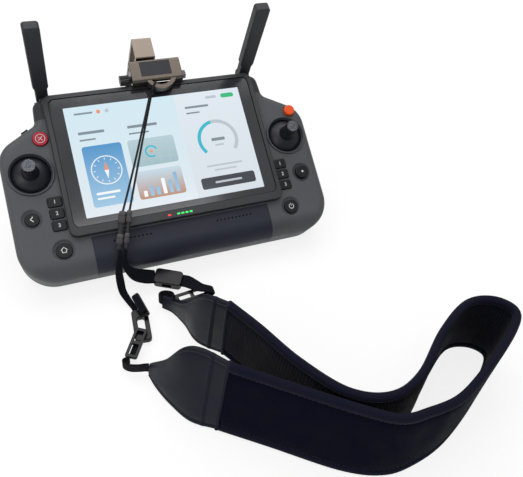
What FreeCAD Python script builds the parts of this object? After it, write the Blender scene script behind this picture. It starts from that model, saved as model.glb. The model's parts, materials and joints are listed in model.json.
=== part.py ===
import FreeCAD, Part
import math
import os

# Handheld radio transmitter controller with a built-in touch display, resting on a table with its
# display tilted, a lanyard bracket clamped to its rear handle and a padded neck strap. Millimetres.
#
# The controller is drawn in its own axes, U to the right, V towards its top edge and W out of the
# display, with the origin at the middle of the display glass. The last section tilts it, sets it
# on the table, and moves the origin to the middle of the footprint. The strap, which lies on the
# table, is drawn straight in table axes, with the display's middle above x = y = 0.

V = FreeCAD.Vector

# ---- Driving dimensions: casing -----------------------------------------------------------------
TILT = 30.0                 # display tilt off the table, degrees
GRIP_HALF = 132.0           # half width over the grips
HEAD_HALF = GRIP_HALF - 34.0  # half width of the display end
NECK_HALF = HEAD_HALF + 1.5   # half width where the shoulder starts
BODY_TOP = 61.0
NECK_V = 40.0
SHOULDER_V = 21.5
BODY_BOTTOM = -90.2
FACE_W = -4.0               # front face of the grips
BACK_W = -41.0
SPLIT_W = -24.0             # parting line of the two shells
CORNER_R = 8.0
NECK_R = 6.0
SHOULDER_R = 22.0
GRIP_R = 28.0
FRONT_EDGE_R = 7.0
BACK_EDGE_R = 7.0
FRONT_ROLL_R = 16.0         # roll of the lower front edge
BACK_ROLL_R = 9.8           # roll of the lower rear edge, which rests on the table
ROLL_PAST = 1.0             # how far both rolls would reach past the lower side
WALL = 2.4
FACE_WALL = 3.0
SEAM = 0.15                 # gap between inlaid skins
FIT = 0.3                   # gap between a moving cap and its hole
RUN = 0.05                  # radial running clearance of pins

# ---- Driving dimensions: display ----------------------------------------------------------------
GLASS_HALF = HEAD_HALF - 12.0
GLASS_TOP = 56.0
GLASS_BOTTOM = -53.0
GLASS_THICK = 1.2
GLASS_R = 5.0
DISPLAY_HALF_U = GLASS_HALF - 10.4
DISPLAY_HALF_V = 47.25
PANEL_MARGIN = 3.0
PANEL_THICK = 3.4
FRAME_SIDE = 4.0            # bezel frame beyond the glass, sides and top
FRAME_FOOT = 7.0            # bezel frame below the glass, where the lamps sit
FRAME_RISE = 0.8
FRAME_DEPTH = 12.0
LAMP_V = -57.0
LAMP_SIZE = (2.2, 1.2)
RED_LAMP_U = -11.0
GREEN_LAMPS_U = (-3.3, 0.2, 3.7, 7.2)

# ---- Driving dimensions: controls ---------------------------------------------------------------
STICK_U = GRIP_HALF - 22.2
STICK_V = -2.3
GIMBAL_W = -19.0            # both tilt axes of a stick
DOME_R = 19.6
DOME_WALL = 1.2
DOME_SPAN = 73.0            # half angle that the dome covers, degrees
RING_OUTER = 18.2
RING_INNER = 15.3
RING_FLOOR = -5.6
RING_TOP = -3.0
STICK_R = 2.5
STICK_TOP = 16.0
CROWN_R = 5.2
CROWN_LENGTH = 9.0
CROWN_TEETH = 18
YOKE_HALF_U = 11.0
YOKE_HALF_V = 13.0
YOKE_BAR = 3.0
YOKE_THICK = 5.0
YOKE_PIN_R = 1.8
CROSS_PIN_R = 1.5
BEARING_IN = 20.8
BEARING_OUT = 23.4
BASE_HALF = 5.0
CAP_RISE = 1.2              # button caps above the face
FLANGE = 0.8                # retaining flange beyond a button cap
FLANGE_THICK = 1.4
STOP_AT = (34.7 - GRIP_HALF, 25.5, 6.1)
PAUSE_AT = (GRIP_HALF - 13.0, 19.8, 4.9)
BACK_AT = (16.3 - GRIP_HALF, -39.2, 5.6)
FIVE_WAY_AT = (GRIP_HALF - 17.0, -39.0, 6.0)
HOME_AT = (35.0 - GRIP_HALF, -68.0, 6.25)
POWER_AT = (GRIP_HALF - 35.5, -68.0, 6.25)
KEY_U = GRIP_HALF - 35.5
KEY_V = (-28.3, -38.0, -47.9)
KEY_SIZE = (11.0, 8.3)
KEY_R = 1.8
DISH_DEPTH = 1.2
DISH_EDGE = 2.4
BOARD_W = -10.4             # top face of the button boards

# ---- Driving dimensions: antennas ---------------------------------------------------------------
ANTENNA_U = HEAD_HALF - 9.0
ANTENNA_WIDTH = 12.4
ANTENNA_THICK = 8.0
ANTENNA_LENGTH = 86.0
ANTENNA_ANGLE = 80.0        # from +V towards +W
ANTENNA_NECK_WIDTH = 10.0   # at the hinge
ANTENNA_NECK_LENGTH = 15.0
HINGE_R = 5.0
HINGE_GAP = 0.3
HINGE_W = -15.0
LUG_R = 5.4                 # round end of the lug inside the antenna's fork
LUG_WIDTH = 4.0
LUG_GAP = 0.3               # lug to fork
PIN_R = 1.5
CAP_SIDE_U = HEAD_HALF - 7.4
CAP_FOOT_V = 42.0

# ---- Driving dimensions: rear side --------------------------------------------------------------
HANDLE_HALF = 62.0
HANDLE_V = (22.0, 44.0)
HANDLE_BAR_W = (-78.5, -61.0)
HANDLE_POST = 14.0
COVER_HALF = 50.0
COVER_V = (-62.0, 12.0)
COVER_THICK = 2.8
COVER_GAP = 0.2

# ---- Driving dimensions: lanyard bracket --------------------------------------------------------
ARM_U = (-9.0, 7.5)
ARM_TOP_W = 10.0
ARM_THICK = 3.0
ARM_APEX_V = 98.0
ARM_FRONT_V = 79.2
PIVOT = (64.0, 3.0)         # V and W of the head's pivot
PIVOT_R = 2.0
HEAD_U = (-16.5, 27.0)
HEAD_V = (57.5, 77.0)
HEAD_TOP_W = 11.0
CHEEK_THICK = 3.6
HEAD_PLATE = 3.2
INLAY_U = (-8.0, 18.0)
INLAY_V = (62.0, 75.0)
LOOP_U = 8.0
LOOP_V = 63.5
LOOP_OUTER = 13.5
LOOP_INNER = 10.0
LOOP_W = (3.5, 10.5)
KNOB_R = 4.3
CLAMP_U = (-17.0, 15.5)
JAW = 3.2
FOOT_V = (27.0, 52.0)

# ---- Driving dimensions: strap ------------------------------------------------------------------
PAD_WIDTH = 65.0
PAD_THICK = 6.0
WEB_THICK = 1.3
CORD_D = 1.8
TABLE_GAP = 0.1             # of the strap, which only touches the table
CONNECTOR_LENGTH = 31.0
CONNECTOR_WIDTH = 5.6
CONNECTOR_THICK = 4.0


# ---- Shape helpers ------------------------------------------------------------------------------
def box(u, v, w):
    """Block between two values on each axis."""
    corner = V(min(u), min(v), min(w))
    return Part.makeBox(abs(u[1] - u[0]), abs(v[1] - v[0]), abs(w[1] - w[0]), corner)


def disc(u, v, w, radius):
    """Cylinder along W between two values of W."""
    return Part.makeCylinder(radius, abs(w[1] - w[0]), V(u, v, min(w)), V(0, 0, 1))


def rod(u, v, w, radius):
    """Cylinder along U between two values of U."""
    return Part.makeCylinder(radius, abs(u[1] - u[0]), V(min(u), v, w), V(1, 0, 0))


def rounded_wire(corners):
    """Closed wire through (x, y, radius) corners, each rounded by a tangent arc."""
    bends = []
    count = len(corners)
    for index, (x, y, radius) in enumerate(corners):
        point = V(x, y, 0)
        if radius <= 0:
            bends.append((point, None, point))
            continue
        back = V(*corners[index - 1][:2], 0) - point
        ahead = V(*corners[(index + 1) % count][:2], 0) - point
        back.normalize()
        ahead.normalize()
        half = back.getAngle(ahead) / 2
        reach = radius / math.tan(half)
        middle = back + ahead
        middle.normalize()
        crown = point + middle * (radius / math.sin(half) - radius)
        bends.append((point + back * reach, crown, point + ahead * reach))
    edges = []
    for index, (start, crown, end) in enumerate(bends):
        if crown is not None:
            edges.append(Part.Arc(start, crown, end).toShape())
        following = bends[(index + 1) % count][0]
        if (following - end).Length > 1e-6:
            edges.append(Part.LineSegment(end, following).toShape())
    return Part.Wire(edges)


def rectangle(u, v, radius):
    """Corner list of a rounded rectangle."""
    return [(u[0], v[0], radius), (u[1], v[0], radius), (u[1], v[1], radius), (u[0], v[1], radius)]


def plate(corners, w):
    """Rounded outline in U and V, extruded between two values of W."""
    shape = Part.Face(rounded_wire(corners)).extrude(V(0, 0, abs(w[1] - w[0])))
    shape.translate(V(0, 0, min(w)))
    return shape


def profile(corners, u):
    """Rounded outline in V and W, extruded between two values of U."""
    face = Part.Face(rounded_wire(corners))
    turn = FreeCAD.Matrix(0, 0, 1, 0, 1, 0, 0, 0, 0, 1, 0, 0, 0, 0, 0, 1)
    shape = face.transformGeometry(turn).extrude(V(abs(u[1] - u[0]), 0, 0))
    shape.translate(V(min(u), 0, 0))
    return shape


def mirrored(shape):
    """The same shape on the other side of the V-W plane."""
    return shape.mirror(V(0, 0, 0), V(1, 0, 0))


def softened(shape, radius, wanted):
    """Fillet the edges whose bounding box passes the given test."""
    edges = [edge for edge in shape.Edges if wanted(edge.BoundBox)]
    return shape.makeFillet(radius, edges)


def level(w):
    """Test for edges that lie flat at one value of W."""
    return lambda bound: abs(bound.ZMin - w) < 1e-4 and abs(bound.ZMax - w) < 1e-4


def band(low, high, thickness, straight_spans=False):
    """Closed strip between two lists of edge points, as thick as given, kept above the table."""
    sections = []
    count = len(low)
    for index in range(count):
        before = max(index - 1, 0)
        after = min(index + 1, count - 1)
        along = (low[after] + high[after]) - (low[before] + high[before])
        normal = along.cross(high[index] - low[index])
        normal.normalize()
        offset = normal * (thickness / 2)
        foot = V(low[index].x, low[index].y, max(low[index].z, abs(offset.z) + TABLE_GAP))
        corners = [foot - offset, foot + offset, high[index] + offset, high[index] - offset]
        sections.append(Part.makePolygon(corners + [corners[0]]))
    return Part.makeLoft(sections, True, straight_spans)


nodes = {}        # every piece of the controller, in its own axes
strap_nodes = {}  # every piece of the strap, in table axes


# ---- Casing -------------------------------------------------------------------------------------
def casing_outline(inset):
    """Plan outline of the casing, drawn in by the given inset."""
    half = [
        (HEAD_HALF, BODY_TOP, CORNER_R),
        (NECK_HALF, NECK_V, NECK_R),
        (GRIP_HALF, SHOULDER_V, SHOULDER_R),
        (GRIP_HALF, BODY_BOTTOM, GRIP_R),
    ]
    wire = rounded_wire(half + [(-u, v, r) for u, v, r in reversed(half)])
    face = Part.Face(wire)
    if inset > 0:
        face = Part.Face(face.makeOffset2D(-inset).OuterWire)
    return face


def casing_block(inset, front_w, back_w):
    """Casing without its edge fillets: plan outline met with the rolled side profile."""
    block = casing_outline(inset).extrude(V(0, 0, front_w - back_w))
    block.translate(V(0, 0, back_w))
    foot = BODY_BOTTOM - ROLL_PAST + inset
    top = BODY_TOP + 20
    sides = [
        (top, front_w, 0),
        (foot, front_w, FRONT_ROLL_R - inset),
        (foot, back_w, BACK_ROLL_R - inset),
        (top, back_w, 0),
    ]
    return block.common(profile(sides, (-GRIP_HALF - 20, GRIP_HALF + 20))).removeSplitter()


def rim_edges(inner_w, outer_w):
    """Test for the casing's rim edges near one face, without the line where its roll starts."""
    low = min(inner_w, outer_w)
    high = max(inner_w, outer_w)

    def wanted(bound):
        return bound.ZMin > low and bound.ZMax < high and bound.XLength < 2 * GRIP_HALF - GRIP_R

    return wanted


block = casing_block(0, FACE_W, BACK_W)
block = softened(block, FRONT_EDGE_R, rim_edges(FACE_W - FRONT_ROLL_R - 1, FACE_W + 1))
block = softened(block, BACK_EDGE_R, rim_edges(BACK_W - 1, BACK_W + BACK_ROLL_R + 1))
cavity = casing_block(WALL, FACE_W - FACE_WALL, BACK_W + WALL)
shell = block.cut(cavity)
front_half = box((-200, 200), (-200, 200), (SPLIT_W, 50))
rear_half = box((-200, 200), (-200, 200), (-100, SPLIT_W))

FRAME_HALF = GLASS_HALF + FRAME_SIDE
FRAME_TOP = GLASS_TOP + FRAME_SIDE
FRAME_BOTTOM = GLASS_BOTTOM - FRAME_FOOT

front = shell.common(front_half)
rear = shell.common(rear_half)

frame_seat = plate(
    rectangle((-FRAME_HALF - SEAM, FRAME_HALF + SEAM), (FRAME_BOTTOM - SEAM, FRAME_TOP + SEAM), GLASS_R + 1),
    (FACE_W - FRAME_DEPTH, 20),
)
front = front.cut(frame_seat)

# Skin over the lower middle of the front, with its rows of sound holes.
PANEL_HALF = GLASS_HALF - 11.0
PANEL_TOP_V = FRAME_BOTTOM - 1.6
SKIN = 1.3
HOLE_R = 0.7
HOLE_STEP = 3.3
HOLE_V = -68.0
HOLES_U = 28.5
HOLES = 10
skin_core = casing_block(SKIN, FACE_W - SKIN, BACK_W + SKIN)
skin_zone = box((-PANEL_HALF, PANEL_HALF), (BODY_BOTTOM - 5, PANEL_TOP_V), (SPLIT_W, 5))
panel = block.cut(skin_core).common(skin_zone)
seat_core = casing_block(SKIN + SEAM, FACE_W - SKIN - SEAM, BACK_W + SKIN + SEAM)
seat_zone = box(
    (-PANEL_HALF - SEAM, PANEL_HALF + SEAM),
    (BODY_BOTTOM - 5, PANEL_TOP_V + SEAM),
    (SPLIT_W - SEAM, 5),
)
front = front.cut(block.cut(seat_core).common(seat_zone))
sound_holes = []
for side in (-1, 1):
    for index in range(HOLES):
        hole_u = side * (HOLES_U + index * HOLE_STEP)
        sound_holes.append(disc(hole_u, HOLE_V, (FACE_W - FACE_WALL - 1, 0), HOLE_R))
sound_holes = Part.makeCompound(sound_holes)
nodes["lower_front_panel"] = panel.cut(sound_holes)
front = front.cut(sound_holes)


# ---- Antennas and the corner caps that carry them ------------------------------------------------
HINGE_V = BODY_TOP + HINGE_R + HINGE_GAP
STRIP_V = BODY_TOP - 1.7
STRIP_U = (ANTENNA_U - ANTENNA_WIDTH / 2, HEAD_HALF - 2)
STRIP_W = (SPLIT_W + 1.5, FACE_W - FRAME_DEPTH + 4)
cap_zone = box((CAP_SIDE_U, NECK_HALF + 0.5), (CAP_FOOT_V, BODY_TOP + 1), (SPLIT_W, 5))


def corner_cap():
    """Side skin and top strip, with the lug that the antenna turns on."""
    side = block.common(cap_zone).cut(cavity)
    strip = box(STRIP_U, (STRIP_V, BODY_TOP), STRIP_W)
    lug_u = (ANTENNA_U - LUG_WIDTH / 2, ANTENNA_U + LUG_WIDTH / 2)
    post = box(lug_u, (BODY_TOP, HINGE_V), (HINGE_W - LUG_R, HINGE_W + LUG_R))
    cap = side.fuse([strip, post, rod(lug_u, HINGE_V, HINGE_W, LUG_R)])
    return cap.cut(rod((lug_u[0] - 1, lug_u[1] + 1), HINGE_V, HINGE_W, PIN_R + RUN)).removeSplitter()


right_cap = corner_cap()
nodes["corner_caps"] = Part.makeCompound([right_cap, mirrored(right_cap)])
cap_seat = cap_zone.fuse(box(STRIP_U, (STRIP_V, BODY_TOP + 1), STRIP_W))
front = front.cut(cap_seat).cut(mirrored(cap_seat))


def antenna():
    """Paddle with a forked root, drawn upright and then leaned forward about its pin."""
    half = ANTENNA_WIDTH / 2
    neck = ANTENNA_NECK_WIDTH / 2
    widens = (ANTENNA_NECK_LENGTH, ANTENNA_NECK_LENGTH + 3.0)
    blade = plate(
        [
            (-neck, 0, 0),
            (neck, 0, 0),
            (neck, widens[0], 3.0),
            (half, widens[1], 3.0),
            (half, ANTENNA_LENGTH, 2.5),
            (-half, ANTENNA_LENGTH, 2.5),
            (-half, widens[1], 3.0),
            (-neck, widens[0], 3.0),
        ],
        (-ANTENNA_THICK / 2, ANTENNA_THICK / 2),
    )
    blade = softened(blade, 1.2, level(ANTENNA_THICK / 2))
    blade = softened(blade, 1.2, level(-ANTENNA_THICK / 2))
    shape = blade.fuse(rod((-neck, neck), 0, 0, HINGE_R))
    fork_half = LUG_WIDTH / 2 + LUG_GAP
    fork = box((-fork_half, fork_half), (-HINGE_R - 1, LUG_R + LUG_GAP), (-HINGE_R - 1, HINGE_R + 1))
    shape = shape.cut(fork).cut(rod((-neck - 1, neck + 1), 0, 0, PIN_R + RUN))
    shape.rotate(V(0, 0, 0), V(1, 0, 0), ANTENNA_ANGLE)
    shape.translate(V(ANTENNA_U, HINGE_V, HINGE_W))
    return shape


right_antenna = antenna()
nodes["antenna_right"] = right_antenna
nodes["antenna_left"] = mirrored(right_antenna)
PIN_SHORT = 0.4             # each end of the pin inside the antenna's side
pin_half = ANTENNA_NECK_WIDTH / 2 - PIN_SHORT
pin = rod((ANTENNA_U - pin_half, ANTENNA_U + pin_half), HINGE_V, HINGE_W, PIN_R)
nodes["antenna_pins"] = Part.makeCompound([pin, mirrored(pin)])


# ---- Display ------------------------------------------------------------------------------------
GLASS_GAP = 0.3
frame = plate(
    rectangle((-FRAME_HALF, FRAME_HALF), (FRAME_BOTTOM, FRAME_TOP), GLASS_R + 1),
    (FACE_W - FRAME_DEPTH + 4, FRAME_RISE),
)
frame = softened(frame, 0.6, level(FRAME_RISE))
frame = frame.cut(
    plate(
        rectangle(
            (-GLASS_HALF - GLASS_GAP, GLASS_HALF + GLASS_GAP),
            (GLASS_BOTTOM - GLASS_GAP, GLASS_TOP + GLASS_GAP),
            GLASS_R + GLASS_GAP,
        ),
        (-GLASS_THICK, 5),
    )
)
panel_half_u = DISPLAY_HALF_U + PANEL_MARGIN
panel_half_v = DISPLAY_HALF_V + PANEL_MARGIN
frame = frame.cut(
    box(
        (-panel_half_u - SEAM, panel_half_u + SEAM),
        (-panel_half_v - SEAM, panel_half_v + SEAM),
        (-60, 0),
    )
)
nodes["display_panel"] = box(
    (-panel_half_u, panel_half_u),
    (-panel_half_v, panel_half_v),
    (-GLASS_THICK - PANEL_THICK, -GLASS_THICK),
)
nodes["cover_glass"] = softened(
    plate(rectangle((-GLASS_HALF, GLASS_HALF), (GLASS_BOTTOM, GLASS_TOP), GLASS_R), (-GLASS_THICK, 0)),
    0.3,
    level(0),
)


def lamp(u):
    return box(
        (u - LAMP_SIZE[0] / 2, u + LAMP_SIZE[0] / 2),
        (LAMP_V - LAMP_SIZE[1] / 2, LAMP_V + LAMP_SIZE[1] / 2),
        (FRAME_RISE - 1.6, FRAME_RISE + 0.1),
    )


red_lamp = lamp(RED_LAMP_U)
green_lamps = Part.makeCompound([lamp(u) for u in GREEN_LAMPS_U])
nodes["screen_frame"] = frame.cut(red_lamp).cut(green_lamps)
nodes["status_light"] = red_lamp
nodes["battery_lights"] = green_lamps


# ---- Sticks -------------------------------------------------------------------------------------
FACE_CUT = (FACE_W - FACE_WALL - 1, FACE_W + 5)


def stick_ring():
    ring = disc(STICK_U, STICK_V, (RING_FLOOR, RING_TOP), RING_OUTER)
    ring = softened(ring, 0.6, level(RING_TOP))
    cone = Part.makeCone(RING_INNER, RING_INNER + 1.4, RING_TOP - RING_FLOOR)
    cone.translate(V(STICK_U, STICK_V, RING_FLOOR))
    return ring.cut(cone)


def stick_seat():
    seat = disc(STICK_U, STICK_V, (RING_FLOOR, FACE_W + 5), RING_OUTER + SEAM)
    return seat.fuse(disc(STICK_U, STICK_V, FACE_CUT, RING_INNER + 1.7))


def gimbal_base():
    base_u = (STICK_U - BASE_HALF, STICK_U + BASE_HALF)
    posts = []
    for sign in (-1, 1):
        near = STICK_V + sign * BEARING_IN
        far = STICK_V + sign * BEARING_OUT
        post = box(base_u, (near, far), (BACK_W + WALL, GIMBAL_W + 3.2))
        posts.append(post)
    floor = box(base_u, (STICK_V - BEARING_OUT, STICK_V + BEARING_OUT), (BACK_W + WALL, BACK_W + WALL + 2))
    base = floor.fuse(posts[0]).fuse(posts[1])
    bore = Part.makeCylinder(YOKE_PIN_R + RUN, 60, V(STICK_U, STICK_V - 30, GIMBAL_W), V(0, 1, 0))
    return base.cut(bore).removeSplitter()


def gimbal_yoke():
    thick = (GIMBAL_W - YOKE_THICK / 2, GIMBAL_W + YOKE_THICK / 2)
    outer = box(
        (STICK_U - YOKE_HALF_U, STICK_U + YOKE_HALF_U), (STICK_V - YOKE_HALF_V, STICK_V + YOKE_HALF_V), thick
    )
    inner = box(
        (STICK_U - YOKE_HALF_U + YOKE_BAR, STICK_U + YOKE_HALF_U - YOKE_BAR),
        (STICK_V - YOKE_HALF_V + YOKE_BAR, STICK_V + YOKE_HALF_V - YOKE_BAR),
        thick,
    )
    yoke = outer.cut(inner)
    for sign in (-1, 1):
        root = V(STICK_U, STICK_V + sign * (YOKE_HALF_V - 1), GIMBAL_W)
        length = BEARING_OUT - 0.3 - (YOKE_HALF_V - 1)
        yoke = yoke.fuse(Part.makeCylinder(YOKE_PIN_R, length, root, V(0, sign, 0)))
    cross = rod((STICK_U - YOKE_HALF_U - 1, STICK_U + YOKE_HALF_U + 1), STICK_V, GIMBAL_W, CROSS_PIN_R + RUN)
    return yoke.cut(cross).removeSplitter()


COLLAR_TOP = 7.0
COLLAR_R = 4.6


def stick_dome():
    centre = V(STICK_U, STICK_V, GIMBAL_W)
    ball = Part.makeSphere(DOME_R, centre).cut(Part.makeSphere(DOME_R - DOME_WALL, centre))
    rim_w = GIMBAL_W + DOME_R * math.cos(math.radians(DOME_SPAN))
    dome = ball.common(disc(STICK_U, STICK_V, (rim_w, 10), DOME_R + 1))
    seat_w = GIMBAL_W + DOME_R - DOME_WALL - 1.2
    dome = dome.fuse(disc(STICK_U, STICK_V, (seat_w, GIMBAL_W + DOME_R - 0.4), COLLAR_R + 1.5))
    collar = Part.makeCone(COLLAR_R + 2.4, COLLAR_R, COLLAR_TOP - GIMBAL_W - DOME_R + 0.8)
    collar.translate(V(STICK_U, STICK_V, GIMBAL_W + DOME_R - 0.8))
    dome = dome.fuse(collar)
    dome = dome.cut(disc(STICK_U, STICK_V, (seat_w - 5, 20), STICK_R + RUN))
    notch_half = YOKE_PIN_R + 1.0
    notch = box(
        (STICK_U - notch_half, STICK_U + notch_half),
        (STICK_V - DOME_R - 2, STICK_V + DOME_R + 2),
        (rim_w - 1, GIMBAL_W + DOME_R * math.cos(math.radians(50))),
    )
    dome = dome.cut(notch)
    return dome.removeSplitter(), seat_w


def stick(seat_w):
    shaft = disc(STICK_U, STICK_V, (GIMBAL_W, STICK_TOP - CROWN_LENGTH + 0.5), STICK_R)
    hub = Part.makeSphere(4.2, V(STICK_U, STICK_V, GIMBAL_W))
    flange = disc(STICK_U, STICK_V, (seat_w - 1.2, seat_w), STICK_R + 2.4)
    cross = rod((STICK_U - YOKE_HALF_U + 0.1, STICK_U + YOKE_HALF_U - 0.1), STICK_V, GIMBAL_W, CROSS_PIN_R)
    crown_w = STICK_TOP - CROWN_LENGTH
    points = []
    for index in range(2 * CROWN_TEETH):
        reach = CROWN_R if index % 2 == 0 else CROWN_R - 0.5
        angle = math.pi * index / CROWN_TEETH
        points.append(V(STICK_U + reach * math.cos(angle), STICK_V + reach * math.sin(angle), crown_w + 0.8))
    ribbed = Part.Face(Part.makePolygon(points + [points[0]])).extrude(V(0, 0, CROWN_LENGTH - 0.8))
    ball = Part.makeSphere(CROWN_R + 2.6, V(STICK_U, STICK_V, STICK_TOP - CROWN_LENGTH / 2 - 0.6))
    crown = ribbed.common(ball)
    neck = disc(STICK_U, STICK_V, (crown_w, crown_w + 1.2), 3.6)
    tip = Part.makeCone(2.6, 1.4, 0.9)
    tip.translate(V(STICK_U, STICK_V, STICK_TOP - 0.6))
    return shaft.fuse([hub, flange, cross, crown, neck, tip]).removeSplitter()


ring = stick_ring()
seat = stick_seat()
base = gimbal_base()
yoke = gimbal_yoke()
dome, dome_seat_w = stick_dome()
lever = stick(dome_seat_w)
nodes["stick_rings"] = Part.makeCompound([ring, mirrored(ring)])
nodes["gimbal_bases"] = Part.makeCompound([base, mirrored(base)])
nodes["gimbal_yoke_right"] = yoke
nodes["gimbal_yoke_left"] = mirrored(yoke)
nodes["stick_dome_right"] = dome
nodes["stick_dome_left"] = mirrored(dome)
nodes["stick_right"] = lever
nodes["stick_left"] = mirrored(lever)
dome_room = Part.makeSphere(DOME_R + FIT, V(STICK_U, STICK_V, GIMBAL_W))
for cutter in (seat, dome_room):
    front = front.cut(cutter).cut(mirrored(cutter))


# ---- Buttons on the front face ------------------------------------------------------------------
CAP_TOP = FACE_W + CAP_RISE
UNDERSIDE = FACE_W - FACE_WALL
CAP_FOOT = UNDERSIDE - FIT - FLANGE_THICK
flange_w = (CAP_FOOT, UNDERSIDE - FIT)


def round_button(at, rise, crown):
    """Round cap with a retaining flange, and the hole and room that it moves in."""
    u, v, radius = at
    cap = disc(u, v, (CAP_FOOT, FACE_W + rise), radius)
    cap = softened(cap, crown, level(FACE_W + rise))
    cap = cap.fuse(disc(u, v, flange_w, radius + FLANGE)).removeSplitter()
    hole = disc(u, v, FACE_CUT, radius + FIT)
    room = disc(u, v, (BOARD_W, UNDERSIDE), radius + FLANGE + FIT)
    return cap, hole.fuse(room)


def dished(shape, at):
    """Shallow dish in the face around a round button."""
    u, v, radius = at
    dish = Part.makeCone(radius + FIT + 0.6, radius + FIT + DISH_EDGE, DISH_DEPTH)
    dish.translate(V(u, v, FACE_W - DISH_DEPTH))
    return shape.cut(dish)


ROUND_BUTTONS = {
    "stop_button": (STOP_AT, 1.6, 0.8),
    "pause_button": (PAUSE_AT, 3.2, 1.2),
    "back_button": (BACK_AT, 0.4, 0.5),
    "five_way_button": (FIVE_WAY_AT, 2.2, 0.8),
    "home_button": (HOME_AT, 0.6, 0.5),
    "power_button": (POWER_AT, 0.6, 0.5),
}
for at in (BACK_AT, FIVE_WAY_AT, HOME_AT, POWER_AT):
    front = dished(front, at)
for name, (at, rise, crown) in ROUND_BUTTONS.items():
    cap, hole = round_button(at, rise, crown)
    nodes[name] = cap
    front = front.cut(hole)

for side, label in ((-1, "left"), (1, "right")):
    for number, key_v in enumerate(KEY_V, start=1):
        u_span = (side * KEY_U - KEY_SIZE[0] / 2, side * KEY_U + KEY_SIZE[0] / 2)
        v_span = (key_v - KEY_SIZE[1] / 2, key_v + KEY_SIZE[1] / 2)
        key = plate(rectangle(u_span, v_span, KEY_R), (CAP_FOOT, CAP_TOP))
        key = softened(key, 0.6, level(CAP_TOP))
        wide_u = (u_span[0] - 0.4, u_span[1] + 0.4)
        wide_v = (v_span[0] - 0.4, v_span[1] + 0.4)
        key = key.fuse(plate(rectangle(wide_u, wide_v, KEY_R), flange_w)).removeSplitter()
        nodes["key_%s_%d" % (label, number)] = key
        hole_u = (u_span[0] - FIT, u_span[1] + FIT)
        hole_v = (v_span[0] - FIT, v_span[1] + FIT)
        front = front.cut(plate(rectangle(hole_u, hole_v, KEY_R + FIT), FACE_CUT))


# ---- Circuit boards -----------------------------------------------------------------------------
BOARD_THICK = 1.6
BOARD_U = (KEY_U - KEY_SIZE[0] / 2, GRIP_HALF - 10.5)
BOARD_V = (HOME_AT[1] - 10, STICK_V - BEARING_OUT - 0.5)
button_board = box(BOARD_U, BOARD_V, (BOARD_W - BOARD_THICK, BOARD_W))
BOARD_POSTS = ((GRIP_HALF - 23.0, -56.0), (GRIP_HALF - 14.0, -68.0))
for u, v in BOARD_POSTS:
    post = disc(u, v, (BOARD_W + SEAM, UNDERSIDE + 0.5), 2.0)
    front = front.fuse([post, mirrored(post)])
MAIN_W = SPLIT_W + 4.0
main_board = box((-80, 80), (-52, 52), (MAIN_W - BOARD_THICK, MAIN_W))
STANDOFFS = [(u, v) for u in (13 - GLASS_HALF, GLASS_HALF - 13) for v in (-46, 46)]
for u, v in STANDOFFS:
    rear = rear.fuse(disc(u, v, (BACK_W + WALL - 0.5, MAIN_W - BOARD_THICK - SEAM), 3.0))
cans = [
    box((-60, -20), (-10, 30), (MAIN_W, MAIN_W + 3.0)),
    box((10, 55), (-5, 35), (MAIN_W, MAIN_W + 3.0)),
    box((-30, 20), (-45, -20), (MAIN_W, MAIN_W + 2.2)),
]
stack = main_board.fuse(cans)
nodes["circuit_boards"] = Part.makeCompound([stack.removeSplitter(), button_board, mirrored(button_board)])


# ---- Shoulder controls --------------------------------------------------------------------------
slope = V(GRIP_HALF - NECK_HALF, SHOULDER_V - NECK_V, 0)
slope.normalize()
outward = V(-slope.y, slope.x, 0)


def on_shoulder(u):
    """Point of the right shoulder's surface above one value of U."""
    share = (u - NECK_HALF) / (GRIP_HALF - NECK_HALF)
    return V(u, NECK_V + share * (SHOULDER_V - NECK_V), 0)


DIAL_R = 6.0
DIAL_W = (-36.0, -30.0)
DIAL_PROUD = 2.0
DIAL_U = GRIP_HALF - 8.0
DIAL_PIN_R = 1.2
dial_at = on_shoulder(DIAL_U) - outward * (DIAL_R - DIAL_PROUD)
dial = disc(dial_at.x, dial_at.y, DIAL_W, DIAL_R)
for index in range(16):
    angle = 2 * math.pi * index / 16
    notch_at = (dial_at.x + DIAL_R * math.cos(angle), dial_at.y + DIAL_R * math.sin(angle))
    dial = dial.cut(disc(notch_at[0], notch_at[1], (DIAL_W[0] - 1, DIAL_W[1] + 1), 0.6))
dial = dial.fuse(disc(dial_at.x, dial_at.y, (BACK_W + WALL + 0.3, DIAL_W[1] + 1.5), DIAL_PIN_R))
DIAL_POST_W = (BACK_W + WALL - 0.5, DIAL_W[0] - 0.4)
dial_post = disc(dial_at.x, dial_at.y, DIAL_POST_W, DIAL_PIN_R + 1.6)
dial_bore = disc(dial_at.x, dial_at.y, (BACK_W + WALL, DIAL_W[1]), DIAL_PIN_R + RUN)
dial_seat = disc(dial_at.x, dial_at.y, (DIAL_W[0] - FIT, DIAL_W[1] + FIT), DIAL_R + FIT)
rear = rear.fuse([dial_post, mirrored(dial_post)])
for cutter in (dial_bore, dial_seat):
    rear = rear.cut(cutter).cut(mirrored(cutter))
nodes["dial_right"] = dial
nodes["dial_left"] = mirrored(dial)

TOP_BUTTON_R = 3.4
TOP_BUTTON_U = GRIP_HALF - 27.5
TOP_BUTTON_W = -32.5
TOP_BUTTON_PROUD = 1.4
TOP_BUTTON_DEEP = WALL + FIT + FLANGE_THICK
top_at = on_shoulder(TOP_BUTTON_U) + V(0, 0, TOP_BUTTON_W)


def along_outward(radius, low, high, at):
    return Part.makeCylinder(radius, high - low, at + outward * low, outward)


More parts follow.
